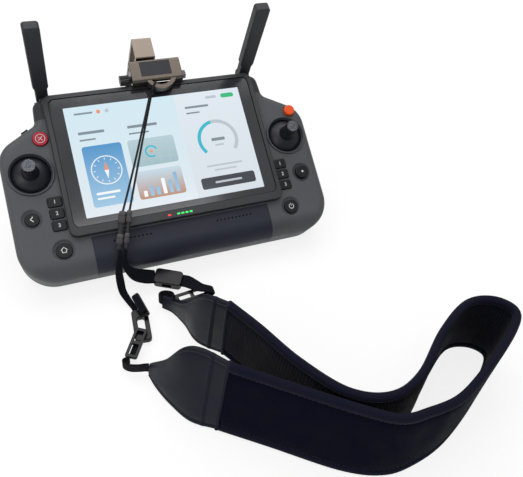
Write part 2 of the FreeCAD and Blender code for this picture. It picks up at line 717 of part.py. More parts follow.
top_button = along_outward(TOP_BUTTON_R, -TOP_BUTTON_DEEP, TOP_BUTTON_PROUD, top_at)
top_button = top_button.fuse(
    along_outward(TOP_BUTTON_R + 0.9, -TOP_BUTTON_DEEP, -TOP_BUTTON_DEEP + FLANGE_THICK, top_at)
)
top_hole = along_outward(TOP_BUTTON_R + FIT, -WALL - 4, 5, top_at)
rear = rear.cut(top_hole).cut(mirrored(top_hole))
nodes["shutter_button"] = top_button.removeSplitter()
nodes["record_button"] = mirrored(nodes["shutter_button"])

SWITCH_U = GRIP_HALF - 24.5
SWITCH_W = -13.0
SWITCH_HALF = 3.0
SWITCH_TRAVEL = 2.5
SWITCH_PROUD = 2.0
switch_at = on_shoulder(SWITCH_U) + V(0, 0, SWITCH_W)


def shoulder_block(along_half, low, high, w_half):
    """Block on the shoulder: along the slope, out of it, and in W."""
    shape = Part.makeBox(2 * along_half, high - low, 2 * w_half, V(-along_half, low, -w_half))
    turn = FreeCAD.Rotation(V(1, 0, 0), slope)
    shape.Placement = FreeCAD.Placement(switch_at, turn)
    return shape


switch = shoulder_block(SWITCH_HALF, -WALL - 1.6, SWITCH_PROUD, 1.6)
switch = switch.fuse(shoulder_block(SWITCH_HALF + 1.5, -WALL - 1.6, -WALL - FIT, 2.6))
switch_slot = shoulder_block(SWITCH_HALF + SWITCH_TRAVEL + FIT, -WALL - 2, 6, 1.6 + FIT)
switch_room = shoulder_block(SWITCH_HALF + SWITCH_TRAVEL + 2.5, -WALL - 3, -WALL, 3.2)
front = front.cut(mirrored(switch_slot.fuse(switch_room)))
nodes["mode_switch"] = mirrored(switch.removeSplitter())


# ---- Rear cover, battery, vents and handle ------------------------------------------------------
BAY_HALF = COVER_HALF - 4.0
BAY_V = (COVER_V[0] + 4.0, COVER_V[1] - 4.0)
bay = box((-BAY_HALF, BAY_HALF), BAY_V, (BACK_W - 1, BACK_W + WALL + 1))
rear = rear.cut(bay)
BATTERY_GAP = 0.5
BATTERY_THICK = 13.0
battery = plate(
    rectangle(
        (-BAY_HALF + BATTERY_GAP, BAY_HALF - BATTERY_GAP), (BAY_V[0] + BATTERY_GAP, BAY_V[1] - BATTERY_GAP), 3
    ),
    (BACK_W + FIT, BACK_W + FIT + BATTERY_THICK),
)
nodes["battery"] = battery
cover_w = (BACK_W - COVER_GAP - COVER_THICK, BACK_W - COVER_GAP)
cover = plate(rectangle((-COVER_HALF, COVER_HALF), COVER_V, 4.0), cover_w)
cover = softened(cover, 1.2, level(cover_w[0]))
for index in range(5):
    rib_v = COVER_V[0] + 8 + index * 3.0
    cover = cover.cut(box((-14, 14), (rib_v, rib_v + 1.2), (cover_w[0], cover_w[0] + 0.6)))
nodes["rear_cover"] = cover
LATCH_HALF = 9.0
LATCH_V = (COVER_V[1] + 0.4, COVER_V[1] + 7.4)
LATCH_TRAVEL = 2.0
LATCH_NECK = 5.0
latch = plate(rectangle((-LATCH_HALF, LATCH_HALF), LATCH_V, 1.5), (cover_w[0], BACK_W - COVER_GAP))
latch_mid = (LATCH_V[0] + LATCH_V[1]) / 2
latch_neck = box((-LATCH_NECK, LATCH_NECK), (latch_mid - 1.5, latch_mid + 1.5), (BACK_W - 1, BACK_W + WALL))
latch = latch.fuse(latch_neck)
latch_slot = box(
    (-LATCH_NECK - FIT, LATCH_NECK + FIT),
    (latch_mid - 1.5 - FIT, latch_mid + 1.5 + FIT + LATCH_TRAVEL),
    (BACK_W - 1, BACK_W + WALL + 1),
)
rear = rear.cut(latch_slot)
nodes["cover_latch"] = latch.removeSplitter()

VENT_COUNT = 11
VENT_STEP = 8.0
vents = []
for index in range(VENT_COUNT):
    vent_u = (index - (VENT_COUNT - 1) / 2) * VENT_STEP
    vents.append(box((vent_u - 1.4, vent_u + 1.4), (47.0, 55.0), (BACK_W - 1, BACK_W + WALL + 1)))
rear = rear.cut(Part.makeCompound(vents))

bar = plate(rectangle((-HANDLE_HALF, HANDLE_HALF), HANDLE_V, 6.0), HANDLE_BAR_W)
bar = softened(bar, 4.0, level(HANDLE_BAR_W[0]))
bar = softened(bar, 3.0, level(HANDLE_BAR_W[1]))
for sign in (-1, 1):
    near = sign * (HANDLE_HALF - HANDLE_POST)
    post = plate(
        rectangle(sorted((near, sign * (HANDLE_HALF - 1))), (HANDLE_V[0] + 2, HANDLE_V[1] - 2), 4.0),
        (HANDLE_BAR_W[1] - 4, BACK_W),
    )
    bar = bar.fuse(post)
nodes["rear_handle"] = bar.removeSplitter()

SCREW_R = 2.6
SCREW_DEPTH = 1.4
SCREW_LENGTH = 8.0
SHANK_R = 1.3
screw_places = [(u, v) for u in (-120, 120) for v in (-66, 8)] + [(-70, 50), (70, 50)]


def screw(at, head_r, head_w, shank_r, shank_w):
    """Socket screw along W: head, shank and a hexagonal socket."""
    shape = disc(at[0], at[1], head_w, head_r).fuse(disc(at[0], at[1], shank_w, shank_r))
    points = []
    for index in range(7):
        angle = math.pi * index / 3
        corner = V(head_r / 2 * math.cos(angle), head_r / 2 * math.sin(angle), min(head_w))
        points.append(corner + V(at[0], at[1], 0))
    socket = Part.Face(Part.makePolygon(points)).extrude(V(0, 0, abs(head_w[1] - head_w[0]) * 0.6))
    return shape.cut(socket)


case_screws = []
for at in screw_places:
    rear = rear.cut(disc(at[0], at[1], (BACK_W - 1, BACK_W + SCREW_DEPTH), SCREW_R + SEAM))
    rear = rear.cut(disc(at[0], at[1], (BACK_W - 1, BACK_W + WALL + 1), SHANK_R + SEAM))
    head_w = (BACK_W + 0.2, BACK_W + SCREW_DEPTH)
    case_screws.append(screw(at, SCREW_R, head_w, SHANK_R, (BACK_W + SCREW_DEPTH, BACK_W + SCREW_LENGTH)))

MOUNT_HOLE_R = 2.0
MOUNT_SPACING = 40.0
MOUNT_V = -78.0
MOUNT_DEEP = 6.0
for sign in (-1, 1):
    lug = disc(sign * MOUNT_SPACING / 2, MOUNT_V, (BACK_W + 1, BACK_W + MOUNT_DEEP + 1.5), MOUNT_HOLE_R + 2.2)
    rear = rear.fuse(lug)
for sign in (-1, 1):
    hole = disc(sign * MOUNT_SPACING / 2, MOUNT_V, (BACK_W - 1, BACK_W + MOUNT_DEEP), MOUNT_HOLE_R)
    rear = rear.cut(hole)
nodes["front_shell"] = front.removeSplitter()
nodes["rear_shell"] = rear.removeSplitter()


# ---- Lanyard bracket ----------------------------------------------------------------------------
clamp_front_w = HANDLE_BAR_W[1] + FIT
clamp_back_w = HANDLE_BAR_W[0] - FIT
CLAMP_BACK = 8.0
CLAMP_CLOSE = 7.0
clamp_top_v = HANDLE_V[1] + FIT
clamp_foot_v = HANDLE_V[0] - CLAMP_CLOSE
plate_w = clamp_back_w - CLAMP_BACK
clamp = box(CLAMP_U, (clamp_foot_v, clamp_top_v + JAW), (plate_w, clamp_front_w + JAW))
clamp = clamp.cut(box((-50, 50), (clamp_foot_v - 1, clamp_top_v), (clamp_back_w, clamp_front_w)))
BOLT_R = 2.0
bolt_v = HANDLE_V[0] - CLAMP_CLOSE / 2 - 0.3
bolt_u = (CLAMP_U[0] + 6, CLAMP_U[1] - 6)
for u in bolt_u:
    clamp = clamp.cut(disc(u, bolt_v, (plate_w - 1, clamp_front_w + JAW + 1), BOLT_R + 0.1))
nodes["bracket_clamp"] = clamp.removeSplitter()
clamp_bolts = []
for u in bolt_u:
    head = (plate_w - 3.2, plate_w)
    clamp_bolts.append(screw((u, bolt_v), 3.5, head, BOLT_R, (plate_w, clamp_front_w + JAW)))
nodes["fixing_screws"] = Part.makeCompound(case_screws + clamp_bolts)

KNUCKLE_R = 3.6
arm_back_w = plate_w - ARM_THICK
arm_side = [
    (PIVOT[0] + 1, PIVOT[1] - KNUCKLE_R, 0),
    (ARM_FRONT_V + ARM_THICK, PIVOT[1] - KNUCKLE_R, 2.0),
    (ARM_FRONT_V + ARM_THICK, ARM_TOP_W - ARM_THICK, 0.8),
    (ARM_APEX_V - ARM_THICK, ARM_TOP_W - ARM_THICK, 1.0),
    (ARM_APEX_V - ARM_THICK, arm_back_w + ARM_THICK, 4.0),
    (FOOT_V[0] + ARM_THICK, arm_back_w + ARM_THICK, 0),
    (FOOT_V[0] + ARM_THICK, arm_back_w, 0),
    (ARM_APEX_V, arm_back_w, 7.0),
    (ARM_APEX_V, ARM_TOP_W, 1.6),
    (ARM_FRONT_V, ARM_TOP_W, 1.0),
    (ARM_FRONT_V, PIVOT[1] - KNUCKLE_R + ARM_THICK, 0.8),
    (PIVOT[0] + 1, PIVOT[1] - KNUCKLE_R + ARM_THICK, 0),
]
arm = profile(arm_side, ARM_U).fuse(rod(ARM_U, PIVOT[0], PIVOT[1], KNUCKLE_R))
arm = arm.cut(rod((-60, 60), PIVOT[0], PIVOT[1], PIVOT_R + RUN))
nodes["bracket_arm"] = arm.removeSplitter()

head_side = [
    (HEAD_V[0], HEAD_TOP_W, 2.2),
    (HEAD_V[0], FRAME_RISE + 0.7, 1.0),
    (BODY_TOP + 2.5, FRAME_RISE + 0.7, 0),
    (BODY_TOP + 3.5, PIVOT[1] - 5.0, 1.5),
    (HEAD_V[1] - 6.0, PIVOT[1] - 5.0, 2.5),
    (HEAD_V[1], PIVOT[1] + 1.0, 1.5),
    (HEAD_V[1], HEAD_TOP_W, 1.6),
]
head = profile(head_side, HEAD_U)
head = softened(head, 0.8, lambda b: b.XLength < 0.01 and b.ZMin > PIVOT[1])
hollow = box(
    (HEAD_U[0] + CHEEK_THICK, HEAD_U[1] - CHEEK_THICK),
    (HEAD_V[0] - 5, HEAD_V[1] + 5),
    (-20, HEAD_TOP_W - HEAD_PLATE),
)
front_wall = box(HEAD_U, (HEAD_V[0], HEAD_V[0] + 2.2), (FRAME_RISE + 0.7, HEAD_TOP_W))
head = head.cut(hollow).fuse(front_wall.common(profile(head_side, HEAD_U)))
bow_hole = disc(LOOP_U, LOOP_V, (LOOP_W[0] - 1, LOOP_W[1] + 1), LOOP_INNER)
bow = disc(LOOP_U, LOOP_V, LOOP_W, LOOP_OUTER).cut(bow_hole)
bow = bow.common(box((-50, 50), (0, HEAD_V[0] + 1.0), (-20, 20)))
bow_room = disc(LOOP_U, LOOP_V, (LOOP_W[0] - 1, HEAD_TOP_W - HEAD_PLATE), LOOP_INNER)
bow_room = bow_room.common(box((-50, 50), (0, HEAD_V[0] + 5), (-20, 20)))
head = head.fuse(bow).cut(bow_room)
INLAY_DEPTH = 0.8
inlay_corners = rectangle(INLAY_U, INLAY_V, 0.8)
inlay_w = (HEAD_TOP_W - INLAY_DEPTH, HEAD_TOP_W + 0.3)
head = head.cut(plate(inlay_corners, inlay_w))
head = head.cut(rod((-60, 60), PIVOT[0], PIVOT[1], PIVOT_R + RUN))
slot_u = (HEAD_U[0] - 1, HEAD_U[0] + CHEEK_THICK + 1)
head = head.cut(box(slot_u, (70.0, 73.5), (3.5, 8.0)))
nodes["bracket_head"] = head.removeSplitter()
nodes["head_inlay"] = plate(rectangle(INLAY_U, INLAY_V, 0.8), (HEAD_TOP_W - INLAY_DEPTH, HEAD_TOP_W + 0.2))

SPACER = 0.3
spacers = []
left_span = (HEAD_U[0] + CHEEK_THICK + SPACER, ARM_U[0] - SPACER)
right_span = (ARM_U[1] + SPACER, HEAD_U[1] - CHEEK_THICK - SPACER)
for span in (left_span, right_span):
    sleeve = rod(span, PIVOT[0], PIVOT[1], KNUCKLE_R - 0.4)
    spacers.append(sleeve.cut(rod((-60, 60), PIVOT[0], PIVOT[1], PIVOT_R + RUN)))

KNOB_LENGTH = 7.0
knob_u = (HEAD_U[0] - 2.2 - KNOB_LENGTH, HEAD_U[0] - 2.2)
points = []
for index in range(32):
    reach = KNOB_R if index % 2 == 0 else KNOB_R - 0.4
    angle = math.pi * index / 16
    points.append(V(knob_u[0], PIVOT[0] + reach * math.cos(angle), PIVOT[1] + reach * math.sin(angle)))
knob = Part.Face(Part.makePolygon(points + [points[0]])).extrude(V(KNOB_LENGTH, 0, 0))
knob = knob.common(Part.makeSphere(KNOB_R + 1.2, V(sum(knob_u) / 2, PIVOT[0], PIVOT[1])))
knob = knob.fuse(rod((knob_u[1] - 0.5, HEAD_U[0] - 0.2), PIVOT[0], PIVOT[1], 3.0))
NUT_LENGTH = 4.0
bolt_end = HEAD_U[1] + 0.2 + NUT_LENGTH
bolt = rod((knob_u[1] - 1, bolt_end), PIVOT[0], PIVOT[1], PIVOT_R)
nodes["thumb_screw"] = knob.fuse(bolt).removeSplitter()
points = []
for index in range(7):
    angle = math.pi * index / 3
    points.append(V(HEAD_U[1] + 0.2, PIVOT[0] + 3.9 * math.cos(angle), PIVOT[1] + 3.9 * math.sin(angle)))
nut = Part.Face(Part.makePolygon(points)).extrude(V(NUT_LENGTH - 0.6, 0, 0))
nut = nut.cut(rod((0, 60), PIVOT[0], PIVOT[1], PIVOT_R + RUN))
nodes["pivot_fittings"] = Part.makeCompound(spacers + [nut])


# ---- Neck strap: padded band, end caps, webbing and sliders -------------------------------------
PAD_FLOOR = [               # x, y, and how far the band leans to its left at the top
    (-21.5, -215.7, 16), (9.6, -239.2, 15), (49.3, -269.6, 15), (76, -281.8, 11), (99.3, -282.2, 9),
    (126.7, -275.5, 4.5), (160.4, -258.9, 3), (194.2, -236.9, 1), (205, -223, 0), (194.2, -210.2, -0.5),
    (172.7, -207.9, -0.7), (143.3, -225.9, -3.4), (109.2, -251.5, -3.4), (80.4, -257.2, -1),
    (54, -245, 0), (32, -215, 0), (16, -182, 0), (3, -158, 0),
]
pad_low = [V(x, y, 0) for x, y, lean in PAD_FLOOR]
pad_high = []
for index, (x, y, lean) in enumerate(PAD_FLOOR):
    along = pad_low[min(index + 1, len(pad_low) - 1)] - pad_low[max(index - 1, 0)]
    along.normalize()
    left = V(-along.y, along.x, 0)
    rise = math.sqrt(PAD_WIDTH ** 2 - lean ** 2)
    pad_high.append(pad_low[index] + left * lean + V(0, 0, rise))
strap_nodes["neck_pad"] = band(pad_low, pad_high, PAD_THICK)

NECK_Z = (3.0, 13.5)        # height of the narrow ends of the caps
CAP_THICK = 4.0
CAP_GAP = 1.0               # cap to pad, measured along the pad at mid thickness
near_step = (pad_low[0] - pad_low[1]).normalize() * CAP_GAP
far_step = (pad_low[-1] - pad_low[-2]).normalize() * CAP_GAP
near_low = [V(-56.2, -162.2, NECK_Z[0]), V(-53.4, -173, 0.4), V(-47.3, -188, 0), V(-37.5, -204.6, 0)]
near_high = [V(-54, -158.3, NECK_Z[1]), V(-46, -170.5, 34), V(-36.3, -178.5, 56), V(-25.8, -185.5, 61)]
far_low = [V(-31.5, -105, NECK_Z[0]), V(-24, -110.4, 0.4), V(-18.2, -124.4, 0), V(-13.3, -143, 0)]
far_high = [V(-29.5, -101, NECK_Z[1]), V(-22.8, -111.5, 18), V(-17.3, -124.5, 31), V(-10, -142, 58.5)]
near_low.append(pad_low[0] + near_step)
near_high.append(pad_high[0] + near_step)
far_low.append(pad_low[-1] + far_step)
far_high.append(pad_high[-1] + far_step)
strap_nodes["strap_end_near"] = band(near_low, near_high, CAP_THICK)
strap_nodes["strap_end_far"] = band(far_low, far_high, CAP_THICK)


def webbing(stations):
    """Strip of webbing through (centre, width, facing) stations."""
    low = []
    high = []
    count = len(stations)
    for index, (centre, width, facing) in enumerate(stations):
        along = V(*stations[min(index + 1, count - 1)][0]) - V(*stations[max(index - 1, 0)][0])
        across = along.cross(V(*facing))
        across.normalize()
        low.append(V(*centre) - across * (width / 2))
        high.append(V(*centre) + across * (width / 2))
    return band(low, high, WEB_THICK, straight_spans=True)


def laid(shape, centre, along, facing):
    """Place a shape drawn around the origin: its X along the strap, its Z to the given facing."""
    turn = FreeCAD.Rotation(V(*along), V(0, 0, 0), V(*facing), "XZY")
    shape.Placement = FreeCAD.Placement(V(*centre), turn)
    return shape


SLIDER_THICK = 2.4
SLIDER_BAR = 2.6


def slider(length, width):
    """Three-bar slider: a rounded plate with two slots."""
    shape = plate(
        rectangle((-length / 2, length / 2), (-width / 2, width / 2), 1.8),
        (-SLIDER_THICK / 2, SLIDER_THICK / 2),
    )
    slot_half = width / 2 - 2.0
    slot_ends = (SLIDER_BAR / 2, length / 2 - SLIDER_BAR)
    for sign in (-1, 1):
        slot = (sign * slot_ends[0], sign * slot_ends[1])
        shape = shape.cut(plate(rectangle(sorted(slot), (-slot_half, slot_half), 0.9), (-5, 5)))
    return softened(shape, 0.5, lambda b: b.ZLength < 1e-4 and max(abs(b.XMin), abs(b.XMax)) > length / 2 - 2)


def buckle(length, width, thick, hole_length, hole_width):
    """Moulded loop buckle."""
    shape = plate(rectangle((-length / 2, length / 2), (-width / 2, width / 2), 3.0), (-thick / 2, thick / 2))
    hole = rectangle((-hole_length / 2, hole_length / 2), (-hole_width / 2, hole_width / 2), 2.0)
    shape = shape.cut(plate(hole, (-thick, thick)))
    return softened(shape, 0.8, level(thick / 2))


def release_buckle(length, width, thick):
    """Closed side-release buckle: a body with a window on each side for the prongs."""
    shape = plate(rectangle((-length / 2, length / 2), (-width / 2, width / 2), 3.0), (-thick / 2, thick / 2))
    window_w = (1.5 - thick / 2, thick / 2 - 1.5)
    for sign in (-1, 1):
        window_v = (sign * width / 2, sign * (width / 2 - 2.2))
        shape = shape.cut(box((-length / 6, length / 6), window_v, window_w))
    return softened(shape, 0.8, level(thick / 2))


UP = (0, 0, 1)
CAP_TIP_Z = (NECK_Z[0] + NECK_Z[1]) / 2
TAIL_FACING = (-0.49, 0.1, 0.87)
near_web = webbing([
    ((-55.9, -69.0, 40.1), 3.2, (0, -0.5, 0.9)),
    ((-58.1, -72.4, 31.5), 3.8, (0, -0.7, 0.7)),
    ((-59.7, -76.6, 23.5), 5.8, (0, -1, 0.25)),
    ((-59.8, -80.0, 15.5), 6.6, (0.1, -1, 0.4)),
    ((-59.2, -84.4, 8.0), 6.6, (0.3, -0.6, 0.8)),
    ((-56.7, -90.1, 4.0), 5.8, (0.2, -0.2, 1)),
    ((-54.4, -96.0, 2.4), 5.0, UP),
    ((-52.9, -100.4, 1.9), 5.0, UP),
])
near_tail = webbing([
    ((-51.6, -92.6, 10.4), 5.4, TAIL_FACING),
    ((-49.9, -101.4, 10.0), 5.4, TAIL_FACING),
    ((-48.3, -109.8, 9.6), 5.4, TAIL_FACING),
])
near_under = webbing([
    ((-66.3, -144.6, 4.5), 5.0, UP),
    ((-62.5, -138.4, 4.5), 5.0, UP),
    ((-59.9, -134.2, 3.9), 5.0, UP),
])
near_end = webbing([
    ((-55.9, -158.8, CAP_TIP_Z), NECK_Z[1] - NECK_Z[0], (-0.8, -0.6, 0)),
    ((-58.6, -157.6, 8.0), 10.0, (-0.5, -0.9, 0)),
    ((-63.2, -156.4, 7.5), 10.0, (-0.1, -1, 0)),
    ((-68.4, -154.4, 7.0), 10.0, (-0.4, -1, 0)),
    ((-71.6, -151.8, 6.5), 9.5, (-0.9, -0.5, 0)),
    ((-73.2, -149.3, 6.4), 9.0, (-1, 0.1, 0)),
    ((-72.2, -147.2, 6.4), 9.0, (-0.2, 1, 0)),
    ((-67.8, -147.0, 6.4), 9.0, (0.6, 0.8, 0)),
])
strap_nodes["webbing_near"] = Part.makeCompound([near_web, near_tail, near_under, near_end])
far_web = webbing([
    ((-52.2, -70.4, 41.2), 3.2, (0, -0.5, 0.9)),
    ((-53.7, -73.0, 30.2), 3.6, (0, -0.8, 0.6)),
    ((-51.8, -75.8, 24.0), 7.0, (-0.2, -0.9, 0.6)),
    ((-46.9, -78.0, 18.6), 10.5, (-0.2, -0.7, 0.8)),
    ((-40.0, -78.4, 14.3), 12.0, (-0.1, -0.5, 1)),
    ((-33.6, -78.8, 11.8), 12.0, (0, -0.3, 1)),
])
far_link = webbing([
    ((-9.9, -87.4, 8.7), 12.0, (0, -0.15, 1)),
    ((-7.1, -89.3, 9.1), 12.0, (0, -0.1, 1)),
    ((-2.6, -94.6, 9.7), 10.5, (0, -0.1, 1)),
    ((1.5, -98.8, 9.9), 8.5, (0, -0.1, 1)),
    ((5.6, -101.0, 9.9), 7.0, (0, -0.1, 1)),
    ((10.0, -102.0, 8.8), 6.0, (0.3, -0.1, 1)),
    ((11.8, -102.4, 6.4), 6.0, (1, 0, 0)),
    ((10.0, -102.4, 3.8), 6.0, (0.3, 0, -1)),
    ((4.6, -101.8, 2.6), 6.0, (0, 0, -1)),
])
far_end = webbing([
    ((-31.2, -101.9, CAP_TIP_Z), NECK_Z[1] - NECK_Z[0], (-0.8, -0.6, 0)),
    ((-33.0, -99.0, 8.0), 10.0, (-1, -0.1, 0)),
    ((-31.4, -96.4, 8.0), 9.5, (-0.4, 1, 0)),
    ((-27.4, -96.0, 7.8), 9.5, (0.5, 1, 0)),
    ((-22.5, -98.2, 7.6), 9.0, (1, 0.5, 0)),
    ((-21.3, -102.0, 7.4), 9.0, (1, 0, 0)),
])
strap_nodes["webbing_far"] = Part.makeCompound([far_web, far_link, far_end])
strap_nodes["strap_buckles"] = Part.makeCompound([
    laid(buckle(30, 13, 4.0, 14, 5.6), (-52.1, -117.2, 2.9), (-0.1, -1, 0), UP),
    laid(release_buckle(23, 14, 7.0), (-20.8, -81.5, 8.2), (0.88, -0.47, 0), (0, -0.15, 1)),
])
strap_nodes["strap_sliders"] = Part.makeCompound([
    laid(slider(23, 6.5), (-48.9, -101.6, 8.0), (0.19, -0.98, -0.05), TAIL_FACING),
    laid(slider(27, 9.5), (-60.0, -134.4, 6.8), (-0.53, -0.85, 0), UP),
    laid(slider(28, 9), (-6.2, -101.0, 5.5), (1, 0.1, 0), UP),
])


# ---- Cords from the bracket's bow to the strap ---------------------------------------------------
def tube(points, diameter, label):
    """Round cord along straight runs joined by the largest tangent arcs that they allow."""
    points = [V(*point) for point in points]
    bends = [(points[0], None, points[0])]
    radii = []
    for before, here, after in zip(points, points[1:], points[2:]):
        back = before - here
        ahead = after - here
        shorter = min(back.Length, ahead.Length)
        back.normalize()
        ahead.normalize()
        half_turn = (math.pi - back.getAngle(ahead)) / 2
        reach = 0.45 * shorter
        radius = reach / math.tan(half_turn)
        radii.append(round(radius, 1))
        middle = back + ahead
        middle.normalize()
        crown = here + middle * (radius / math.cos(half_turn) - radius)
        bends.append((here + back * reach, crown, here + ahead * reach))
    bends.append((points[-1], None, points[-1]))
    edges = []
    for index, (start, crown, end) in enumerate(bends):
        if crown is not None:
            edges.append(Part.Arc(start, crown, end).toShape())
        if index + 1 < len(bends):
            edges.append(Part.LineSegment(end, bends[index + 1][0]).toShape())
    path = Part.Wire(edges)
    circle = Part.Circle(points[0], points[1] - points[0], diameter / 2)
    pipe = path.makePipeShell([Part.Wire(circle.toShape())], True, False)
    section = math.pi * diameter ** 2 / 4
    share = pipe.Volume / (section * path.Length)
    print(label, "length", round(path.Length, 1), "radii", radii, "volume share", round(share, 4))
    return pipe


HITCH_ANGLE = math.radians(233)
HITCH_GAP = 0.3
radial = V(math.cos(HITCH_ANGLE), math.sin(HITCH_ANGLE), 0)
clear = HITCH_GAP + CORD_D / 2
inner_reach = LOOP_INNER - clear
outer_reach = LOOP_OUTER + clear


def hitch():
    """Turn of cord round the bow, with the knot in front of it."""
    corners = rectangle((inner_reach, outer_reach), (LOOP_W[0] - clear, LOOP_W[1] + clear), 1.3)
    wire = rounded_wire(corners)
    start = V(inner_reach + 1.3, LOOP_W[0] - clear, 0)
    circle = Part.Wire(Part.Circle(start, V(1, 0, 0), CORD_D / 2).toShape())
    turn = wire.makePipeShell([circle], True, False)
    facing = V(radial.y, -radial.x, 0)
    stance = FreeCAD.Rotation(radial, V(0, 0, 0), facing, "XZY")
    turn.Placement = FreeCAD.Placement(V(LOOP_U, LOOP_V, 0), stance)
    knot_at = V(LOOP_U, LOOP_V, 0) + radial * (outer_reach + 1.6) + V(0, 0, 4.6)
    knot = Part.makeSphere(2.1, knot_at)
    return turn.fuse(knot), knot_at


turn, knot_at = hitch()
NEAR_PLUG = V(-47.4, -47.5, 3.6)
FAR_PLUG = V(-42.2, -48.2, 5.0)
NEAR_RUN = V(-9.5, -29.5, -1.2)
FAR_RUN = V(-9.6, -29.6, -1.0)
NEAR_RUN.normalize()
FAR_RUN.normalize()
near_start = knot_at + V(-1.5, -1.5, 0)
far_start = knot_at + V(0.5, -1.9, 0)
near_route = [near_start, V(-29.8, -11.8, 3.1), NEAR_PLUG]
far_route = [far_start, V(-26.3, -11.0, 3.1), FAR_PLUG]
nodes["cord_near"] = tube(near_route, CORD_D, "cord_near")
nodes["cord_far"] = tube(far_route, CORD_D, "cord_far")


def connector():
    """Quick-release connector drawn from the origin along -Y: socket, plug and strain relief."""
    half = CONNECTOR_WIDTH / 2
    thick = CONNECTOR_THICK / 2
    socket = plate(rectangle((-half, half), (-10.0, 0), 1.0), (-thick, thick))
    socket = softened(socket, 0.6, level(thick))
    stem = plate(rectangle((-2.2, 2.2), (-19.5, -9.5), 0.6), (-thick + 0.4, thick - 0.4))
    plug = plate(rectangle((-half + 0.2, half - 0.2), (-27.0, -19.0), 1.2), (-thick, thick))
    relief = Part.makeCylinder(1.9, CONNECTOR_LENGTH - 26.0, V(0, -26.0, 0), V(0, -1, 0))
    return socket.fuse([stem, plug, relief]).removeSplitter()


def placed_connector(at, run, facing):
    shape = connector()
    turn_to = FreeCAD.Rotation(V(0, 0, 0), run * -1, facing, "YZX")
    shape.Placement = FreeCAD.Placement(at, turn_to)
    return shape


near_plug = placed_connector(NEAR_PLUG, NEAR_RUN, V(0, 0, 1))
far_plug = placed_connector(FAR_PLUG, FAR_RUN, V(1, 0, 0))
nodes["cord_fittings"] = Part.makeCompound([turn, near_plug, far_plug])


# ---- Placing and writing ------------------------------------------------------------------------
rest_z = BACK_ROLL_R - (
    (BODY_BOTTOM - ROLL_PAST + BACK_ROLL_R) * math.sin(math.radians(TILT))
    + (BACK_W + BACK_ROLL_R) * math.cos(math.radians(TILT))
)
stand = FreeCAD.Placement(V(0, 0, rest_z), FreeCAD.Rotation(V(1, 0, 0), TILT))

table = box((-400, 400), (-400, 400), (-400, 0))
foot = box(CLAMP_U, FOOT_V, (arm_back_w - 60, arm_back_w))
foot = foot.transformed(stand.toMatrix()).cut(table)

placed = {}
for name, shape in nodes.items():
    placed[name] = shape.transformed(stand.toMatrix())
placed["bracket_foot"] = foot
placed.update(strap_nodes)

own = Part.makeCompound(list(placed.values()))
bound = own.optimalBoundingBox(False, False)
shift = V(-(bound.XMin + bound.XMax) / 2, -(bound.YMin + bound.YMax) / 2, 0)

os.makedirs("parts", exist_ok=True)
for name, shape in placed.items():
    shape.translate(shift)
    shape.exportStep("parts/%s.step" % name)
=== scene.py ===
import json
import math

import bmesh
import bpy
from mathutils import Matrix, Vector, noise


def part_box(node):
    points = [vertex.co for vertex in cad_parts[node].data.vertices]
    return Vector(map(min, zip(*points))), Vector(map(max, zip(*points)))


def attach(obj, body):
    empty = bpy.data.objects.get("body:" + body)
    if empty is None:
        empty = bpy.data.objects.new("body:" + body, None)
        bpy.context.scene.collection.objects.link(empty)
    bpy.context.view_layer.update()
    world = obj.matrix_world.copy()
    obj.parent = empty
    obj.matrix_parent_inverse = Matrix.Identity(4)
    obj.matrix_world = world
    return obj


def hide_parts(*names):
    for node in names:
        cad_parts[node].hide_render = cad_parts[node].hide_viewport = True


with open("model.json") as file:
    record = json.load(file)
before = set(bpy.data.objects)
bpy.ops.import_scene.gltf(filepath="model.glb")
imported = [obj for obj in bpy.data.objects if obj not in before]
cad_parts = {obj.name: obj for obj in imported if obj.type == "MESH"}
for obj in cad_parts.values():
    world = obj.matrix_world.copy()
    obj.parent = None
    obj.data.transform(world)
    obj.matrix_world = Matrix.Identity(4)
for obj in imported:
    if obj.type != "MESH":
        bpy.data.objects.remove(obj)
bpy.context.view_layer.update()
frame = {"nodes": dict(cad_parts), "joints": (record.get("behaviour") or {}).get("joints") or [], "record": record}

MM = 0.001


# ---- How the controller stands ------------------------------------------------------------------
# The controller leans back on its bracket, with its own axes in the middle of the display glass:
# across the display, up to its top edge, and out of the glass. The strap lies on the table.
press = next(joint for joint in frame["joints"] if joint["name"] == "stop_button_press")
OUTWARD = -Vector(press["axis"])
ACROSS = Vector((1, 0, 0))
UPWARD = OUTWARD.cross(ACROSS)
GLASS_TOP_V = 56.0 * MM      # from the display's middle up to the top edge of the glass
glass_low, glass_high = (Vector(corner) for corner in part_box("cover_glass"))
glass_points = [vertex.co for vertex in frame["nodes"]["cover_glass"].data.vertices]
origin = (
    ACROSS * (glass_low + glass_high).x / 2
    + UPWARD * (max(point.dot(UPWARD) for point in glass_points) - GLASS_TOP_V)
    + OUTWARD * max(point.dot(OUTWARD) for point in glass_points)
)
controller = Matrix.Translation(origin) @ Matrix((ACROSS, UPWARD, OUTWARD)).transposed().to_4x4()


def on_controller(u, v, w):
    """A point given in the controller's own axes, in millimetres."""
    return controller @ (Vector((u, v, w)) * MM)


def on_table(x, y, z):
    """A point given from below the display's middle, in millimetres above the table."""
    return Vector((origin.x, origin.y, 0)) + Vector((x, y, z)) * MM


